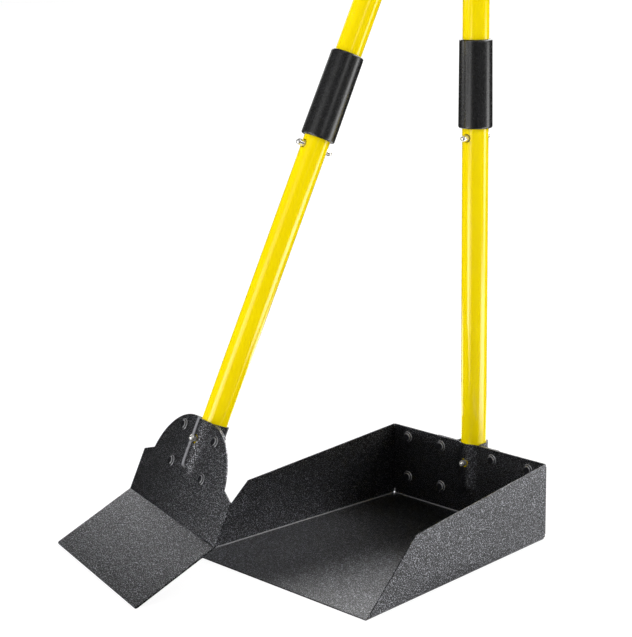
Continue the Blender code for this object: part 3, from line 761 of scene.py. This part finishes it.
def panSheet():
    # Half the pan's outer face: flat patches, folded up, and then mirrored.
    radius = pan["foldRadius"]
    slope = math.cos(panSplay)
    foldStart = panBackFace - radius
    relief = foldStart - pan["cornerRelief"]
    foot = radius * quarterTurn
    toFlat = foot - radius
    top = pan["wallHeight"] + toFlat
    breakRow = (pan["length"] - pan["breakFromBack"]) / slope
    breakOut = pan["breakHeight"] + toFlat
    cornerRow = pan["length"] / slope
    reliefRow = (relief + pan["length"] / 2) / slope
    tabTurn = quarterTurn - panSplay
    tabRow = cornerRow - radius * math.tan(tabTurn / 2)
    tabEnd = cornerRow + pan["tabWidth"]
    chamfer = pan["tabChamfer"]
    bend = list(np.linspace(0, foot, pan["foldSteps"] + 1))

    def outline(row):
        # Straight from the lip to the break, and straight on to the rear corner.
        return np.interp(row, [0, breakRow, cornerRow], [pan["mouthLip"], breakOut, top])

    crossings = [breakRow * (line - pan["mouthLip"]) / (breakOut - pan["mouthLip"])
                 for line in bend if line > pan["mouthLip"]]
    wallRows = np.array([0] + crossings + between(breakRow / 4, breakRow, pan["frontSteps"])
                        + between(breakRow, reliefRow, pan["rearSteps"]) + [reliefRow])
    tabTop = top - pan["tabDrop"]
    tabFoot = foot + pan["tabDrop"]
    tabLines = [tabFoot, tabFoot + chamfer, tabTop - chamfer, tabTop]
    wall = clippedWall(wallRows, bend + tabLines + [top],
                       np.zeros(len(wallRows)), outline(wallRows))
    rearRows = np.array([reliefRow, tabRow])
    rear = clippedWall(rearRows, [foot] + tabLines + [top],
                       np.full(2, foot), outline(rearRows))
    tabBend = list(tabRow + np.linspace(0, radius * tabTurn, pan["foldSteps"] + 1))
    tabRows = np.array(tabBend + [tabEnd - chamfer, tabEnd])
    cut = np.maximum(0, tabRows - (tabEnd - chamfer))
    tabPoints, tabFaces = clippedWall(tabRows, tabLines, tabFoot + cut, tabTop - cut)
    origin = np.array([panSide(-pan["length"] / 2), -pan["length"] / 2, 0])
    tabStart = origin + wallAlong * tabRow
    tabPoints = foldOver(tabPoints, tabStart, wallAlong, radius, tabTurn)
    wallPoints, wallFaces = joined([wall, rear, (tabPoints, tabFaces)])
    wallPoints = foldOver(wallPoints, origin, wallOut, radius, quarterTurn)

    floorRows = list(wallRows * slope - pan["length"] / 2)
    backBend = list(foldStart + np.linspace(0, foot, pan["foldSteps"] + 1))
    backTop = backBend[-1] + pan["wallHeight"] - radius
    rows = np.array(floorRows + backBend + bulgeRows(backTop))
    backHalf = pan["backWidth"] / 2 - pan["sheet"] - gap
    columns = between(0, bulgeReach, shared["bulgeSteps"]) + list(
        np.linspace(bulgeReach, backHalf, pan["backSteps"] + 1))
    points, faces = flatGrid(columns, rows)
    onFloor = points[:, 1] < foldStart + shared["weld"]
    share = np.maximum(0, (points[:, 0] - bulgeReach) / (backHalf - bulgeReach))
    toSide = bulgeReach + share * (panSide(points[:, 1]) - bulgeReach)
    points[:, 0] = np.where(onFloor & (share > 0), toSide, points[:, 0])
    points = pressed(points, backTop)
    points = foldOver(points, np.array([0, foldStart, 0]), np.array([0, 1, 0]),
                      radius, quarterTurn)
    return mirrored(*joined([(points, faces), (wallPoints, wallFaces)]))


def panRivets():
    # Each rivet's place across and up in the socket, and what it holds behind the sheet.
    outer = pan["backWidth"] / 2 - pan["tabRivetInset"]
    reach = shared["rivetReach"]
    spots = []
    for drop in (pan["rivetDrop"], pan["rivetDrop"] + pan["rivetSpacing"]):
        spots += [(-outer, -drop, pan["sheet"]), (outer, -drop, pan["sheet"])]
        spots += [(-reach, -drop, saddle["sheet"]), (reach, -drop, saddle["sheet"])]
    return spots


def bladeRivets():
    reach = shared["rivetReach"]
    drops = (blade["rivetDrop"], blade["rivetDrop"] + blade["rivetSpacing"])
    return [(x, -drop, saddle["sheet"]) for drop in drops for x in (-reach, reach)]


saddle = {
    "sheet": 0.0015,
    "width": 0.086,
    "height": 0.062,
    "bend": 0.003,
    "archSteps": 18,
    "rows": 5,
    "corner": 0.006,
    "edgeRound": 0.0002,
}
rivet = {
    "flangeRadius": 0.0057,
    "flangeThickness": 0.0012,
    "crownRadius": 0.0042,
    "crownHeight": 0.0014,
    "shankRadius": 0.0022,
    "tailRadius": 0.0038,
    "tailHeight": 0.0016,
    "round": 0.0004,
    "crownRounds": 3,
    "flangeRounds": 2.5,
    "tailRounds": 2,
    # Where the painted highlight rings lie, how wide they are, and how much more of it the lit
    # side gets.
    "crownRing": 0.7,
    "flangeRing": 0.6,
    "highlightWidth": 0.0005,
    "highlightTowards": (0.8, 0.6),
    "highlightShare": (0.45, 0.55),
    "sides": 40,
}


def sheetHoles(spots):
    holes = [(x, 0, z, rivet["shankRadius"] + gap) for x, z, hold in spots]
    return holes + [(0, 0, -shared["buttonDrop"], shared["sheetHole"])]


def panFoldHighlights(spot):
    # A painted highlight runs along the inner folds, where their bends catch the light. Each is
    # a
    # line: the distance from it is the root of the squares of how far out the point lies and
    # how far up.
    inner = pan["sheet"] + gap
    out = pan["foldRadius"] - inner
    start = panSide(-pan["length"] / 2)
    up = spot.along((0, 0, inner), (0, 0, 1))
    back = spot.along((0, panBackFace - inner, 0), (0, 1, 0))
    across = spot.worked("ABSOLUTE", spot.along((0, 0, 0), (1, 0, 0)))
    along = spot.along((0, -pan["length"] / 2, 0), (0, 1, 0))
    side = (across - start) * float(wallOut[0]) + along * float(wallOut[1])
    rear = (back * back + up * up) ** 0.5
    flank = ((side - out) * (side - out) + up * up) ** 0.5
    return 1 - rear.spread(*pan["highlightLine"]) * flank.spread(*pan["highlightLine"])


panPaint = hammeredMaterial("panPaint", hammerLook, highlightBands=panFoldHighlights)
panPiece = rawObject("tray_pan_sheet", *panSheet())
weld(panPiece, towards=(np.array([0, 0, 0]), np.array([0, 0, 1])))
thickened(panPiece, pan["sheet"], 1)
boolean(panPiece, barCutter("panHoles", traySocket, sheetHoles(panRivets()),
                             cutDepth["sheetHoles"]))
softened(panPiece, pan["edgeRound"])
dressed(panPiece, panPaint, "tray", "hammered_steel", "tray_pan")
print("pan folded:", len(panPiece.data.polygons), "faces")


# The spade's blade

def bladeOutline():
    # Sides, sloping shoulders and an arc over the head, in the upper plate's plane.
    half = blade["headWidth"] / 2
    side = blade["width"] / 2
    over = blade["outlinePast"]
    slope = (blade["headFoot"] - blade["shoulderHeight"]) / (side - half)
    centreUp = blade["upperHeight"] - blade["headRadius"]
    rise = blade["headFoot"] - centreUp
    centreOut = half - math.sqrt(blade["headRadius"] ** 2 - rise ** 2)
    start = math.degrees(math.asin(rise / blade["headRadius"]))
    head = arcPoints((centreOut, centreUp), blade["headRadius"], start, 90,
                     blade["headSteps"])
    foot = [(side + over, -blade["lowerLength"] - over),
            (side + over, blade["shoulderHeight"] - slope * over)]
    right = np.concatenate([foot, head])
    return np.concatenate([right, right[::-1] * [-1, 1]])


def bladeSheet():
    # Half the blade's rear face: flat, pressed, bent down, and then mirrored.
    angle = blade["poleAngle"] - blade["lowerAngle"]
    setback = blade["bendRadius"] * math.tan(angle / 2)
    bend = -setback + np.linspace(0, blade["bendRadius"] * angle, blade["foldSteps"] + 1)
    edge = bend[-1] + blade["lowerLength"] - setback
    top = blade["upperHeight"]
    corner = blade["cornerRadius"]
    half = blade["width"] / 2
    corners = arcPoints((0, 0), corner, -90, 0, shared["cornerSteps"])
    rows = list(-edge + corner + corners[:, 1])
    rows += list(np.linspace(-edge + corner, -bend[-1], blade["plateSteps"] + 1)[1:-1])
    rows += list(-bend[::-1]) + bulgeRows(top)
    columns = between(0, bulgeReach, shared["bulgeSteps"])
    columns += list(np.linspace(bulgeReach, half - corner, blade["sideSteps"] + 1)) + [half]
    points, faces = flatGrid(columns, rows)
    up = np.clip(points[:, 1] + edge, 0, corner)
    limit = half - corner + np.sqrt(np.maximum(0, corner ** 2 - (corner - up) ** 2))
    points[:, 0] = np.minimum(points[:, 0], limit)
    points = pressed(points, top)
    points = foldOver(points, np.array([0, setback, 0]), np.array([0, -1, 0]),
                      blade["bendRadius"], angle)
    points = np.stack([points[:, 0], -points[:, 2], points[:, 1]], axis=-1)
    return mirrored(points, faces)


bladePoints, bladeFaces = bladeSheet()
bladePiece = rawObject("spade_blade_sheet", placed(bladePoints, spadePlace), bladeFaces)
weld(bladePiece, towards=(spadePlace[0], -spadePlace[1][:, 1]))
thickened(bladePiece, blade["sheet"], 1)
boolean(bladePiece, prismCutter("bladeOutline", spadePlace, bladeOutline(),
                                cutDepth["outline"]), "INTERSECT")
boolean(bladePiece, barCutter("bladeHoles", spadeSocket, sheetHoles(bladeRivets()),
                              cutDepth["sheetHoles"]))
softened(bladePiece, blade["edgeRound"])
dressed(bladePiece, bladePaint, "spade", "hammered_steel", "spade_blade")
print("blade pressed:", len(bladePiece.data.polygons), "faces")


# Saddles behind the sheets, and rivets

def addSaddle(name, place, spots, body, node, outline=None):
    # A hat section along Z: a half-round, a small bend and a flat flange, mirrored.
    bend = saddle["bend"]
    path = np.concatenate([
        arcPoints((0, shared["axisBehindSheet"]), bulgeRadius, 90, 0, saddle["archSteps"]),
        arcPoints((bulgeRadius + bend, gap + bend), bend, 180, 270, shared["cornerSteps"]),
        [(saddle["width"] / 2, gap)],
    ])
    rows = np.linspace(-saddle["height"], 0, saddle["rows"])
    across, up = np.meshgrid(path[:, 0], rows)
    back = np.repeat(path[None, :, 1], len(rows), axis=0)
    points = np.stack([across.ravel(), back.ravel(), up.ravel()], axis=-1)
    points, faces = mirrored(points, gridCells(len(rows), len(path)))
    piece = rawObject(name, placed(points, place), faces)
    rear = shared["axisBehindSheet"] + bulgeRadius
    tip, axes = moved(place, 0, rear, -saddle["height"] / 2)
    weld(piece, towards=(tip, axes[:, 1]))
    thickened(piece, saddle["sheet"], 1)
    half, low, radius = saddle["width"] / 2, -saddle["height"], saddle["corner"]
    frameLine = rounded(
        [(half, 0, radius), (half, low, radius), (-half, low, radius), (-half, 0, radius)],
        steps=shared["cornerSteps"], closed=True)
    boolean(piece, prismCutter("corners", place, frameLine, cutDepth["corners"]), "INTERSECT")
    if outline is not None:
        boolean(piece, prismCutter("outline", spadePlace, outline, cutDepth["outline"]),
                "INTERSECT")
    holes = [(x, 0, z, rivet["shankRadius"] + gap) for x, z, hold in spots if abs(x) < half]
    boolean(piece, barCutter("rivetHoles", place, holes, cutDepth["saddleHoles"]))
    button = [(0, rear, -shared["buttonDrop"], shared["buttonHole"])]
    boolean(piece, barCutter("buttonHole", place, button, cutDepth["buttonHole"]))
    softened(piece, saddle["edgeRound"])
    dressed(piece, hammered, body, "hammered_steel", node)


def highlightRings(piece, place, rings):
    # Writes the attribute of painted highlight rings: 1 on each (radius, height) ring, falling
    # off between half and one and a half ring widths from it, and more on the side the light
    # comes from.
    mesh = piece.data
    corners = np.empty(len(mesh.vertices) * 3)
    mesh.vertices.foreach_get("co", corners)
    origin, axes = place
    local = (corners.reshape(-1, 3) - origin) @ axes
    across = np.hypot(local[:, 0], local[:, 1])
    highlight = np.zeros(len(local))
    rubbed = local[:, :2] @ rivet["highlightTowards"] / np.maximum(across, gap)
    for radius, height in rings:
        away = np.hypot(across - radius, local[:, 2] - height)
        highlight = np.maximum(highlight, np.clip(1.5 - away / rivet["highlightWidth"], 0, 1))
    middle, swing = rivet["highlightShare"]
    highlight *= np.clip(middle + swing * rubbed, 0, 1)
    mesh.attributes.new("highlight", "FLOAT", "POINT").data.foreach_set("value", highlight)


def addRivets(place, sheet, spots, body, prefix):
    # A stepped head in front and a formed tail behind, turned about the shank.
    for number, (x, z, hold) in enumerate(spots, start=1):
        flangeFoot = sheet + gap
        flangeTop = flangeFoot + rivet["flangeThickness"]
        crownTop = flangeTop + rivet["crownHeight"]
        tailTop = -(hold + 2 * gap)
        tailFoot = tailTop - rivet["tailHeight"]
        edge = rivet["round"]
        profile = rounded([
            (0, crownTop, 0),
            (rivet["crownRadius"], crownTop, rivet["crownRounds"] * edge),
            (rivet["crownRadius"], flangeTop, edge / 2),
            (rivet["flangeRadius"], flangeTop, rivet["flangeRounds"] * edge),
            (rivet["flangeRadius"], flangeFoot, edge / 2),
            (rivet["shankRadius"], flangeFoot, 0),
            (rivet["shankRadius"], tailTop, 0),
            (rivet["tailRadius"], tailTop, edge / 2),
            (rivet["tailRadius"], tailFoot, rivet["tailRounds"] * edge),
            (0, tailFoot, 0),
        ])
        points, faces = turned(profile, rivet["sides"])
        node = f"{prefix}_rivet_{number}"
        spot = facing(moved(place, x, 0, z), -1)
        piece = rawObject(node + "_turned", placed(points, spot), faces)
        weld(piece)
        crownIn, flangeIn = rivet["crownRing"] * edge, rivet["flangeRing"] * edge
        highlightRings(piece, spot, [
            (rivet["crownRadius"] - crownIn, crownTop - crownIn),
            (rivet["flangeRadius"] - flangeIn, flangeTop - flangeIn)])
        softened(piece, 0)
        dressed(piece, rivetPaint, body, "rivet_steel", node)


addSaddle("tray_saddle_sheet", traySocket, panRivets(), "tray", "tray_saddle")
addSaddle("spade_saddle_sheet", spadeSocket, bladeRivets(), "spade", "spade_saddle",
          bladeOutline())
addRivets(traySocket, pan["sheet"], panRivets(), "tray", "tray")
addRivets(spadeSocket, blade["sheet"], bladeRivets(), "spade", "spade")
print("saddles and rivets made")


# Poles

pole = {
    "upperTube": 0.443,
    "swageLength": 0.055,
    "swageTaper": 0.003,
    "jointButtonBelowSeam": 0.037,
    "sides": 64,
    "windowCells": 5,
    "windowRings": 4,
    "edgeRound": 0.00015,
}
button = {
    "radius": 0.0030,
    "proud": 0.0073,
    "nose": 0.0028,
    "noseSteps": 10,
    "sides": 32,
}
clip = {
    "strip": 0.0007,
    "width": 0.007,
    "legAbove": 0.006,
    "legBelow": 0.009,
    "noseDrop": 0.017,
    "noseRadius": 0.003,
    "noseSlope": 20,
    "noseSteps": 6,
    "legRows": 9,
    "columns": 5,
    "edgeRound": 0.0001,
}
sleeve = {
    "length": 0.083,
    "belowSeam": 0.028,
    "topRadius": 0.01555,
    "footRadius": 0.0162,
    "round": 0.0020,
    "boreRound": 0.0004,
    "roundSteps": 6,
}
grip = {
    "length": 0.115,
    "radius": 0.0160,
    "waist": 0.0008,
    "round": 0.003,
    "grooves": 4,
    "grooveDepth": 0.0007,
    "grooveShare": 0.3,
    "rings": 97,
    "sides": 64,
}
cap = {
    "plugLength": 0.018,
    "collarHeight": 0.006,
    "domeHeight": 0.007,
    "eyeRadius": 0.0110,
    "eyeHole": 0.0062,
    "eyeThickness": 0.0056,
    "eyeRise": 0.016,
    "eyeRound": 0.0012,
    "eyeRoundSteps": 4,
    "eyeSides": 40,
    "archSteps": 32,
    "plugRound": 0.0008,
    "domeRows": 13,
}


def holedTube(bends, holes):
    # A point at angle a and height z stands off the axis by the radius that the bends give
    # at z. Round a hole, rings run from a square window of the grid to the drilled circle.
    sides, reach = pole["sides"], pole["windowCells"]
    heights, radii = np.array(bends).T
    cell = 2 * math.pi * shared["tubeRadius"] / sides
    lines = list(heights)
    for hole in holes:
        lines += list(hole + cell * np.arange(-reach, reach + 1))
    lines = np.unique(np.round(lines, 7))
    angles = np.arange(sides) * 2 * math.pi / sides

    def onTube(angle, height):
        radius = np.interp(height, heights, radii)
        return np.stack([radius * np.cos(angle), radius * np.sin(angle), height], axis=-1)

    angleGrid, heightGrid = np.meshgrid(angles, lines)
    points = onTube(angleGrid.ravel(), heightGrid.ravel())
    cells = gridCells(len(lines), sides, wrap=True).reshape(len(lines) - 1, sides, 4)
    keep = np.ones(cells.shape[:2], bool)
    patches = []
    corner = np.arange(-reach, reach)
    ring = np.concatenate([
        np.stack([corner, np.full(2 * reach, -reach)], axis=-1),
        np.stack([np.full(2 * reach, reach), corner], axis=-1),
        np.stack([-corner, np.full(2 * reach, reach)], axis=-1),
        np.stack([np.full(2 * reach, -reach), -corner], axis=-1),
    ])
    for hole in holes:
        row = int(np.argmin(abs(lines - (hole - cell * reach))))
        for column in (sides // 4, 3 * sides // 4):
            keep[row:row + 2 * reach, column - reach:column + reach] = False
            middle = angles[column]
            edgeAngle = angles[column + ring[:, 0]]
            edgeHeight = lines[row + reach + ring[:, 1]]
            way = np.arctan2(ring[:, 1], ring[:, 0])
            radius = np.interp(hole, heights, radii)
            holeRadius = shared["buttonHole"]
            roundAngle = middle + np.arcsin(holeRadius * np.cos(way) / radius)
            roundHeight = hole + holeRadius * np.sin(way)
            share = np.linspace(0, 1, pole["windowRings"])[:, None]
            ringAngle = edgeAngle * (1 - share) + roundAngle * share
            ringHeight = edgeHeight * (1 - share) + roundHeight * share
            patches.append((onTube(ringAngle.ravel(), ringHeight.ravel()),
                            gridCells(len(share), len(ring), wrap=True)))
    patches.append((points, cells[keep]))
    return joined(patches)


def addTube(name, place, bends, holes, body, node):
    points, faces = holedTube(bends, holes)
    piece = rawObject(name, placed(points, place), faces)
    spot, axes = moved(place, shared["tubeRadius"], 0, bends[-1][0])
    weld(piece, towards=(spot, axes[:, 0]))
    thickened(piece, shared["tubeWall"], -1)
    softened(piece, pole["edgeRound"])
    dressed(piece, yellowEnamel, body, "yellow_tube", node)


def addTurned(name, place, profile, sides, material, body, slot, node, closed=False):
    points, faces = turned(profile, sides, closed)
    piece = rawObject(name, placed(points, place), faces)
    weld(piece)
    softened(piece, 0)
    dressed(piece, material, body, slot, node)


def addButtons(place, foot, height, names):
    tip = shared["tubeRadius"] + button["proud"]
    nose = button["nose"]
    profile = np.concatenate([
        [(0, tip)],
        arcPoints((button["radius"] - nose, tip - nose), nose, 90, 0, button["noseSteps"]),
        [(button["radius"], foot), (0, foot)],
    ])
    for side, way in (("front", -1), ("rear", 1)):
        spot = facing(moved(place, 0, 0, height), way)
        addTurned(f"{names}_pin_{side}", spot, profile, button["sides"], buttonSteel,
                  f"{names}_{side}", "bright_button", f"{names}_button_{side}")


def addClip(place, face, height, names):
    # A spring clip in two halves, each a quarter of the nose, a slope and a leg that its
    # button bends into the tube.
    foot = height - clip["legBelow"] - clip["noseDrop"]
    radius = clip["noseRadius"]
    nose = arcPoints((0, foot + radius), radius, 270, 360 - clip["noseSlope"],
                     clip["noseSteps"])
    corners = [nose[-1], (face, height - clip["legBelow"]), (face, height + clip["legAbove"])]
    slope, leg = (np.linspace(*corners[at:at + 2], clip["legRows"]) for at in (0, 1))
    path = np.concatenate([nose[:-1], slope[:-1], leg])
    columns = np.linspace(-1, 1, clip["columns"]) * clip["width"] / 2
    across, out = np.meshgrid(columns, path[:, 0])
    up = np.repeat(path[:, 1], across.shape[1])
    faces = gridCells(*across.shape)
    for side, way in (("front", -1), ("rear", 1)):
        points = np.stack([across.ravel(), way * out.ravel(), up], axis=-1)
        piece = rawObject(f"{names}_leg_{side}", placed(points, place), faces)
        spot, axes = moved(place, 0, way * face, height)
        weld(piece, towards=(spot, way * axes[:, 1]))
        thickened(piece, clip["strip"], -1)
        softened(piece, clip["edgeRound"])
        painted(piece, springSteel, "spring_steel", names + "_clip")
        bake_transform(piece)


def gripProfile(head):
    # A waisted side with shallow grooves that follow a raised cosine.
    foot = head - grip["length"]
    bore = shared["tubeRadius"] + gap
    edge = grip["round"]
    heights = np.linspace(head - 2 * edge, foot + 2 * edge, grip["rings"])
    pitch = (grip["length"] - 4 * edge) / grip["grooves"]
    phase = ((head - 2 * edge - heights) / pitch) % 1
    away = np.clip(abs(phase - 0.5) / (grip["grooveShare"] / 2), 0, 1)
    dip = grip["grooveDepth"] * (1 + np.cos(math.pi * away)) / 2
    ends = np.minimum(head - 2 * edge - heights, heights - foot - 2 * edge)
    waist = grip["waist"] * np.clip(ends / edge, 0, 1)
    side = np.stack([grip["radius"] - waist - dip, heights], axis=-1)
    steps = shared["cornerSteps"]
    crown = arcPoints((grip["radius"] - edge, head - edge), edge, 90, 0, steps)
    heel = arcPoints((grip["radius"] - edge, foot + edge), edge, 0, -90, steps)
    return np.concatenate([crown, side, heel, [(bore, foot), (bore, head)]])


def addCap(name, place, top, body, node):
    # A plug, a collar and a dome turned about the axis, joined to a flat eye with a hole.
    plug = shared["tubeRadius"] - shared["tubeWall"] - gap
    foot = top + gap
    collar = foot + cap["collarHeight"]
    angles = np.linspace(quarterTurn, 0, cap["domeRows"])
    dome = np.stack([grip["radius"] * np.cos(angles),
                     collar + cap["domeHeight"] * np.sin(angles)], axis=-1)
    rest = rounded([
        (grip["radius"], collar, 0), (grip["radius"], foot, cap["plugRound"]),
        (plug, foot, 0), (plug, top - cap["plugLength"], cap["plugRound"]),
        (0, top - cap["plugLength"], 0)])
    points, faces = turned(np.concatenate([dome, rest[1:]]), grip["sides"])
    piece = rawObject(name, placed(points, place), faces)
    weld(piece)
    eyeUp = collar + cap["eyeRise"]
    outline = np.concatenate([
        arcPoints((0, eyeUp), cap["eyeRadius"], 0, 180, cap["archSteps"]),
        [(-cap["eyeRadius"], collar), (cap["eyeRadius"], collar)],
    ])
    eye = prismCutter("eye", place, outline, cap["eyeThickness"])
    hole = [(0, 0, eyeUp, cap["eyeHole"])]
    boolean(eye, barCutter("eyeHole", place, hole, 4 * cap["eyeThickness"], cap["eyeSides"]))
    softened(eye, cap["eyeRound"], cap["eyeRoundSteps"])
    boolean(piece, eye, "UNION")
    softened(piece, 0)
    dressed(piece, capPlastic, body, "black_cap", node)


def addPole(prefix, socket, lowerLength):
    place = moved(socket, 0, shared["axisBehindSheet"], 0)
    radius, wall = shared["tubeRadius"], shared["tubeWall"]
    foot = -shared["bulgeStraight"]
    seam = foot + lowerLength
    joint = seam - pole["jointButtonBelowSeam"]
    socketButton = -shared["buttonDrop"]
    addTube(prefix + "_lower_pole", place, [(foot, radius), (seam, radius)],
            [socketButton, joint], prefix, prefix + "_lower_tube")
    shoulder = seam + gap
    top = shoulder + pole["upperTube"]
    swage = radius - wall - gap
    bends = [(seam - pole["swageLength"], swage), (shoulder, swage),
             (shoulder + pole["swageTaper"], radius), (top, radius)]
    addTube(prefix + "_upper_pole", place, bends, [joint], prefix, prefix + "_upper_tube")
    half = clip["width"] / 2
    for names, bore, height in ((prefix + "_socket", radius - wall, socketButton),
                                (prefix + "_joint", swage - wall, joint)):
        face = math.sqrt(bore ** 2 - half ** 2) - gap
        addButtons(place, face + gap, height, names)
        addClip(place, face, height, names)
    sleeveFoot = seam - sleeve["belowSeam"]
    sleeveTop = sleeveFoot + sleeve["length"]
    bore = radius + gap
    profile = rounded([
        (bore, sleeveTop, sleeve["boreRound"]),
        (sleeve["topRadius"], sleeveTop, sleeve["round"]),
        (sleeve["footRadius"], sleeveFoot, sleeve["round"]),
        (bore, sleeveFoot, sleeve["boreRound"]),
    ], steps=sleeve["roundSteps"], closed=True)
    addTurned(prefix + "_sleeve", place, profile, grip["sides"], sleevePlastic, prefix,
              "black_sleeve", prefix + "_joint_sleeve", closed=True)
    addTurned(prefix + "_hand_grip", place, gripProfile(top - gap), grip["sides"],
              gripRubber, prefix, "black_grip", prefix + "_grip", closed=True)
    addCap(prefix + "_cap", place, top, prefix, prefix + "_end_cap")


addPole("tray", traySocket, pan["lowerTube"])
addPole("spade", spadeSocket, blade["lowerTube"])
print("poles made")


# Floor, light and camera

view = {
    "standsAt": (1.084657, -1.120933, 0.594104),
    "lens": 99.245,
    "turn": math.radians(46.028),
    "tilt": math.radians(13.366),
    "roll": math.radians(-0.882),
    "shift": (-0.00118, 0.0),
}


def addCamera():
    turn, tilt, roll = view["turn"], view["tilt"], view["roll"]
    back = np.array([math.sin(turn) * math.cos(tilt), -math.cos(turn) * math.cos(tilt),
                     math.sin(tilt)])
    right = np.array([math.cos(turn), math.sin(turn), 0])
    up = np.cross(back, right)
    rolledRight = right * math.cos(roll) + up * math.sin(roll)
    rolledUp = up * math.cos(roll) - right * math.sin(roll)
    data = bpy.data.cameras.new("camera")
    data.lens = view["lens"]
    data.shift_x, data.shift_y = view["shift"]
    camera = added("camera", data)
    matrix = np.eye(4)
    matrix[:3, 0], matrix[:3, 1], matrix[:3, 2] = rolledRight, rolledUp, back
    matrix[:3, 3] = view["standsAt"]
    camera.matrix_world = Matrix(matrix.tolist())
    bpy.context.scene.camera = camera


addCamera()

studio = {
    "floorHalf": 8.0,
    "floorColour": colour(0.82, 0.82, 0.82),
    "floorWhite": 1.12,
    "shadowShare": 0.25,
    "ambient": 0.004,
    "sky": 0.03,
    "middle": (-0.06, -0.02),
    "ringSoft": 0.25,
    "panelSoft": (0.10, 0.12),
    "panels": (
        # azimuth, half width, soft edge, lowest z, highest z, brightness
        (263, 10, 6, 0.16, 0.37, 3.05),
        (268, 18, 6, 0.16, 0.35, 2.94),
        (65, 42, 10, 0.38, 0.64, 4.69),
        (69, 34, 10, 0.39, 0.95, 2.04),
        (131, 34, 10, 0.16, 0.41, 5.02),
        (32, 11, 6, 0.18, 0.60, 4.04),
        (342, 8, 6, 0.20, 0.41, 2.53),
        (227, 22, 8, -0.12, 0.09, 4.39),
        (302, 12, 6, 0.72, 0.84, 4.0),
    ),
    "glows": (
        # azimuth, half width, soft edge, inner radius, outer radius, brightness
        (44, 79, 8, 0.17, 0.38, 1.27),
        (37, 17, 6, 0.45, 1.35, 5.22),
        (126, 46, 10, 0.21, 0.47, 2.69),
        (264, 20, 10, 0.35, 1.77, 1.71),
        (253, 10, 8, 0.33, 2.22, 1.99),
        (254, 12, 6, 0.34, 1.90, 2.06),
        (166, 12, 6, 0.45, 0.80, 2.8),
        (272, 6, 5, 2.20, 7.00, 2.4),
        (46, 9, 6, 1.50, 7.00, 4.2),
    ),
    "lamps": (
        # azimuth, height above the horizon, spread in degrees, strength
        (228, 35, 50, 1.80),
        (318, 35, 50, 0.40),
    ),
}


def towards(east, north, azimuth, half, soft):
    # 1 in a sector about an azimuth, from above, and 0 outside its soft edges.
    angle = math.radians(azimuth)
    level = (east * east + north * north + 0.000001) ** 0.5
    nearness = (east * math.cos(angle) + north * math.sin(angle)) / level
    return nearness.spread(math.cos(math.radians(min(half + soft, 180))),
                           math.cos(math.radians(max(half - soft, 0))))


def floorGlow(wire):
    # How bright the floor looks in a mirror: sectors of rings about the tools.
    spot = wire.node("ShaderNodeTexCoord").output("Object")
    east = spot.along((*studio["middle"], 0), (1, 0, 0))
    north = spot.along((*studio["middle"], 0), (0, 1, 0))
    level = (east * east + north * north) ** 0.5
    light, fade = 0.0, studio["ringSoft"]
    for azimuth, half, soft, inner, outer, brightness in studio["glows"]:
        mask = towards(east, north, azimuth, half, soft)
        mask = mask * level.spread(inner * (1 - fade), inner * (1 + fade))
        mask = mask * level.spread(outer * (1 + fade), outer * (1 - fade))
        light = light + mask * brightness
    return light


def addFloor():
    # A wide pale floor. The camera sees it nearly white, with a share of its shadow.
    half = studio["floorHalf"]
    corners = half * np.array([(-1, -1, 0), (1, -1, 0), (1, 1, 0), (-1, 1, 0)])
    floor = rawObject("floor", corners, np.array([(0, 1, 2, 3)]))
    material = bpy.data.materials.new("paleFloor")
    wire = emptied(material)
    seen = wire.node("ShaderNodeLightPath").output("Is Camera Ray")
    paper = wire.node("ShaderNodeBsdfDiffuse", None, {"Color": studio["floorColour"]})
    white = wire.node("ShaderNodeEmission", None, {
        "Color": colour(1, 1, 1), "Strength": studio["floorWhite"]})
    blend = wire.node("ShaderNodeMixShader", None,
                      {0: seen * (1 - studio["shadowShare"]), 1: paper, 2: white})
    glow = wire.node("ShaderNodeEmission", None, {
        "Color": colour(1, 1, 1), "Strength": floorGlow(wire)})
    glossy = wire.node("ShaderNodeLightPath").output("Is Glossy Ray")
    whole = wire.node("ShaderNodeMixShader", None, {0: glossy, 1: blend, 2: glow})
    wire.node("ShaderNodeOutputMaterial", None, {"Surface": whole})
    floor.data.materials.append(material)
    material.cycles.emission_sampling = "NONE"


def addWorld():
    # A light tent: an even grey, brighter overhead, with tall soft panels round it. The
    # camera sees plain white.
    world = bpy.data.worlds.new("studio")
    bpy.context.scene.world = world
    wire = emptied(world)
    way = wire.node("ShaderNodeTexCoord").output("Generated")
    split = wire.node("ShaderNodeSeparateXYZ", None, {0: way})
    east, north, up = split, split.output("Y"), split.output("Z")
    light = up.spread(-0.2, 0.9, studio["ambient"], studio["sky"])
    footSoft, topSoft = studio["panelSoft"]
    for azimuth, half, soft, lowest, highest, brightness in studio["panels"]:
        mask = towards(east, north, azimuth, half, soft)
        mask = mask * up.spread(lowest - footSoft, lowest + footSoft)
        mask = mask * up.spread(highest + topSoft, highest - topSoft)
        light = light + mask * brightness
    seen = wire.node("ShaderNodeLightPath").output("Is Camera Ray")
    strength = seen * (1 - light) + light
    shine = wire.node("ShaderNodeBackground", None,
                      {"Color": colour(1, 1, 1), "Strength": strength})
    wire.node("ShaderNodeOutputWorld", None, {"Surface": shine})


def addLamps():
    # Two wide soft lamps for the colours alone: they leave no mirror of themselves.
    for azimuth, height, spread, strength in studio["lamps"]:
        data = bpy.data.lights.new("softLamp", "SUN")
        data.energy = strength
        data.angle = math.radians(spread)
        lamp = added("softLamp", data)
        lamp.rotation_euler = (0, math.radians(height - 90), math.radians(azimuth - 180))
        lamp.visible_glossy = False


addFloor()
addWorld()
addLamps()
bpy.context.scene.view_settings.view_transform = "Standard"
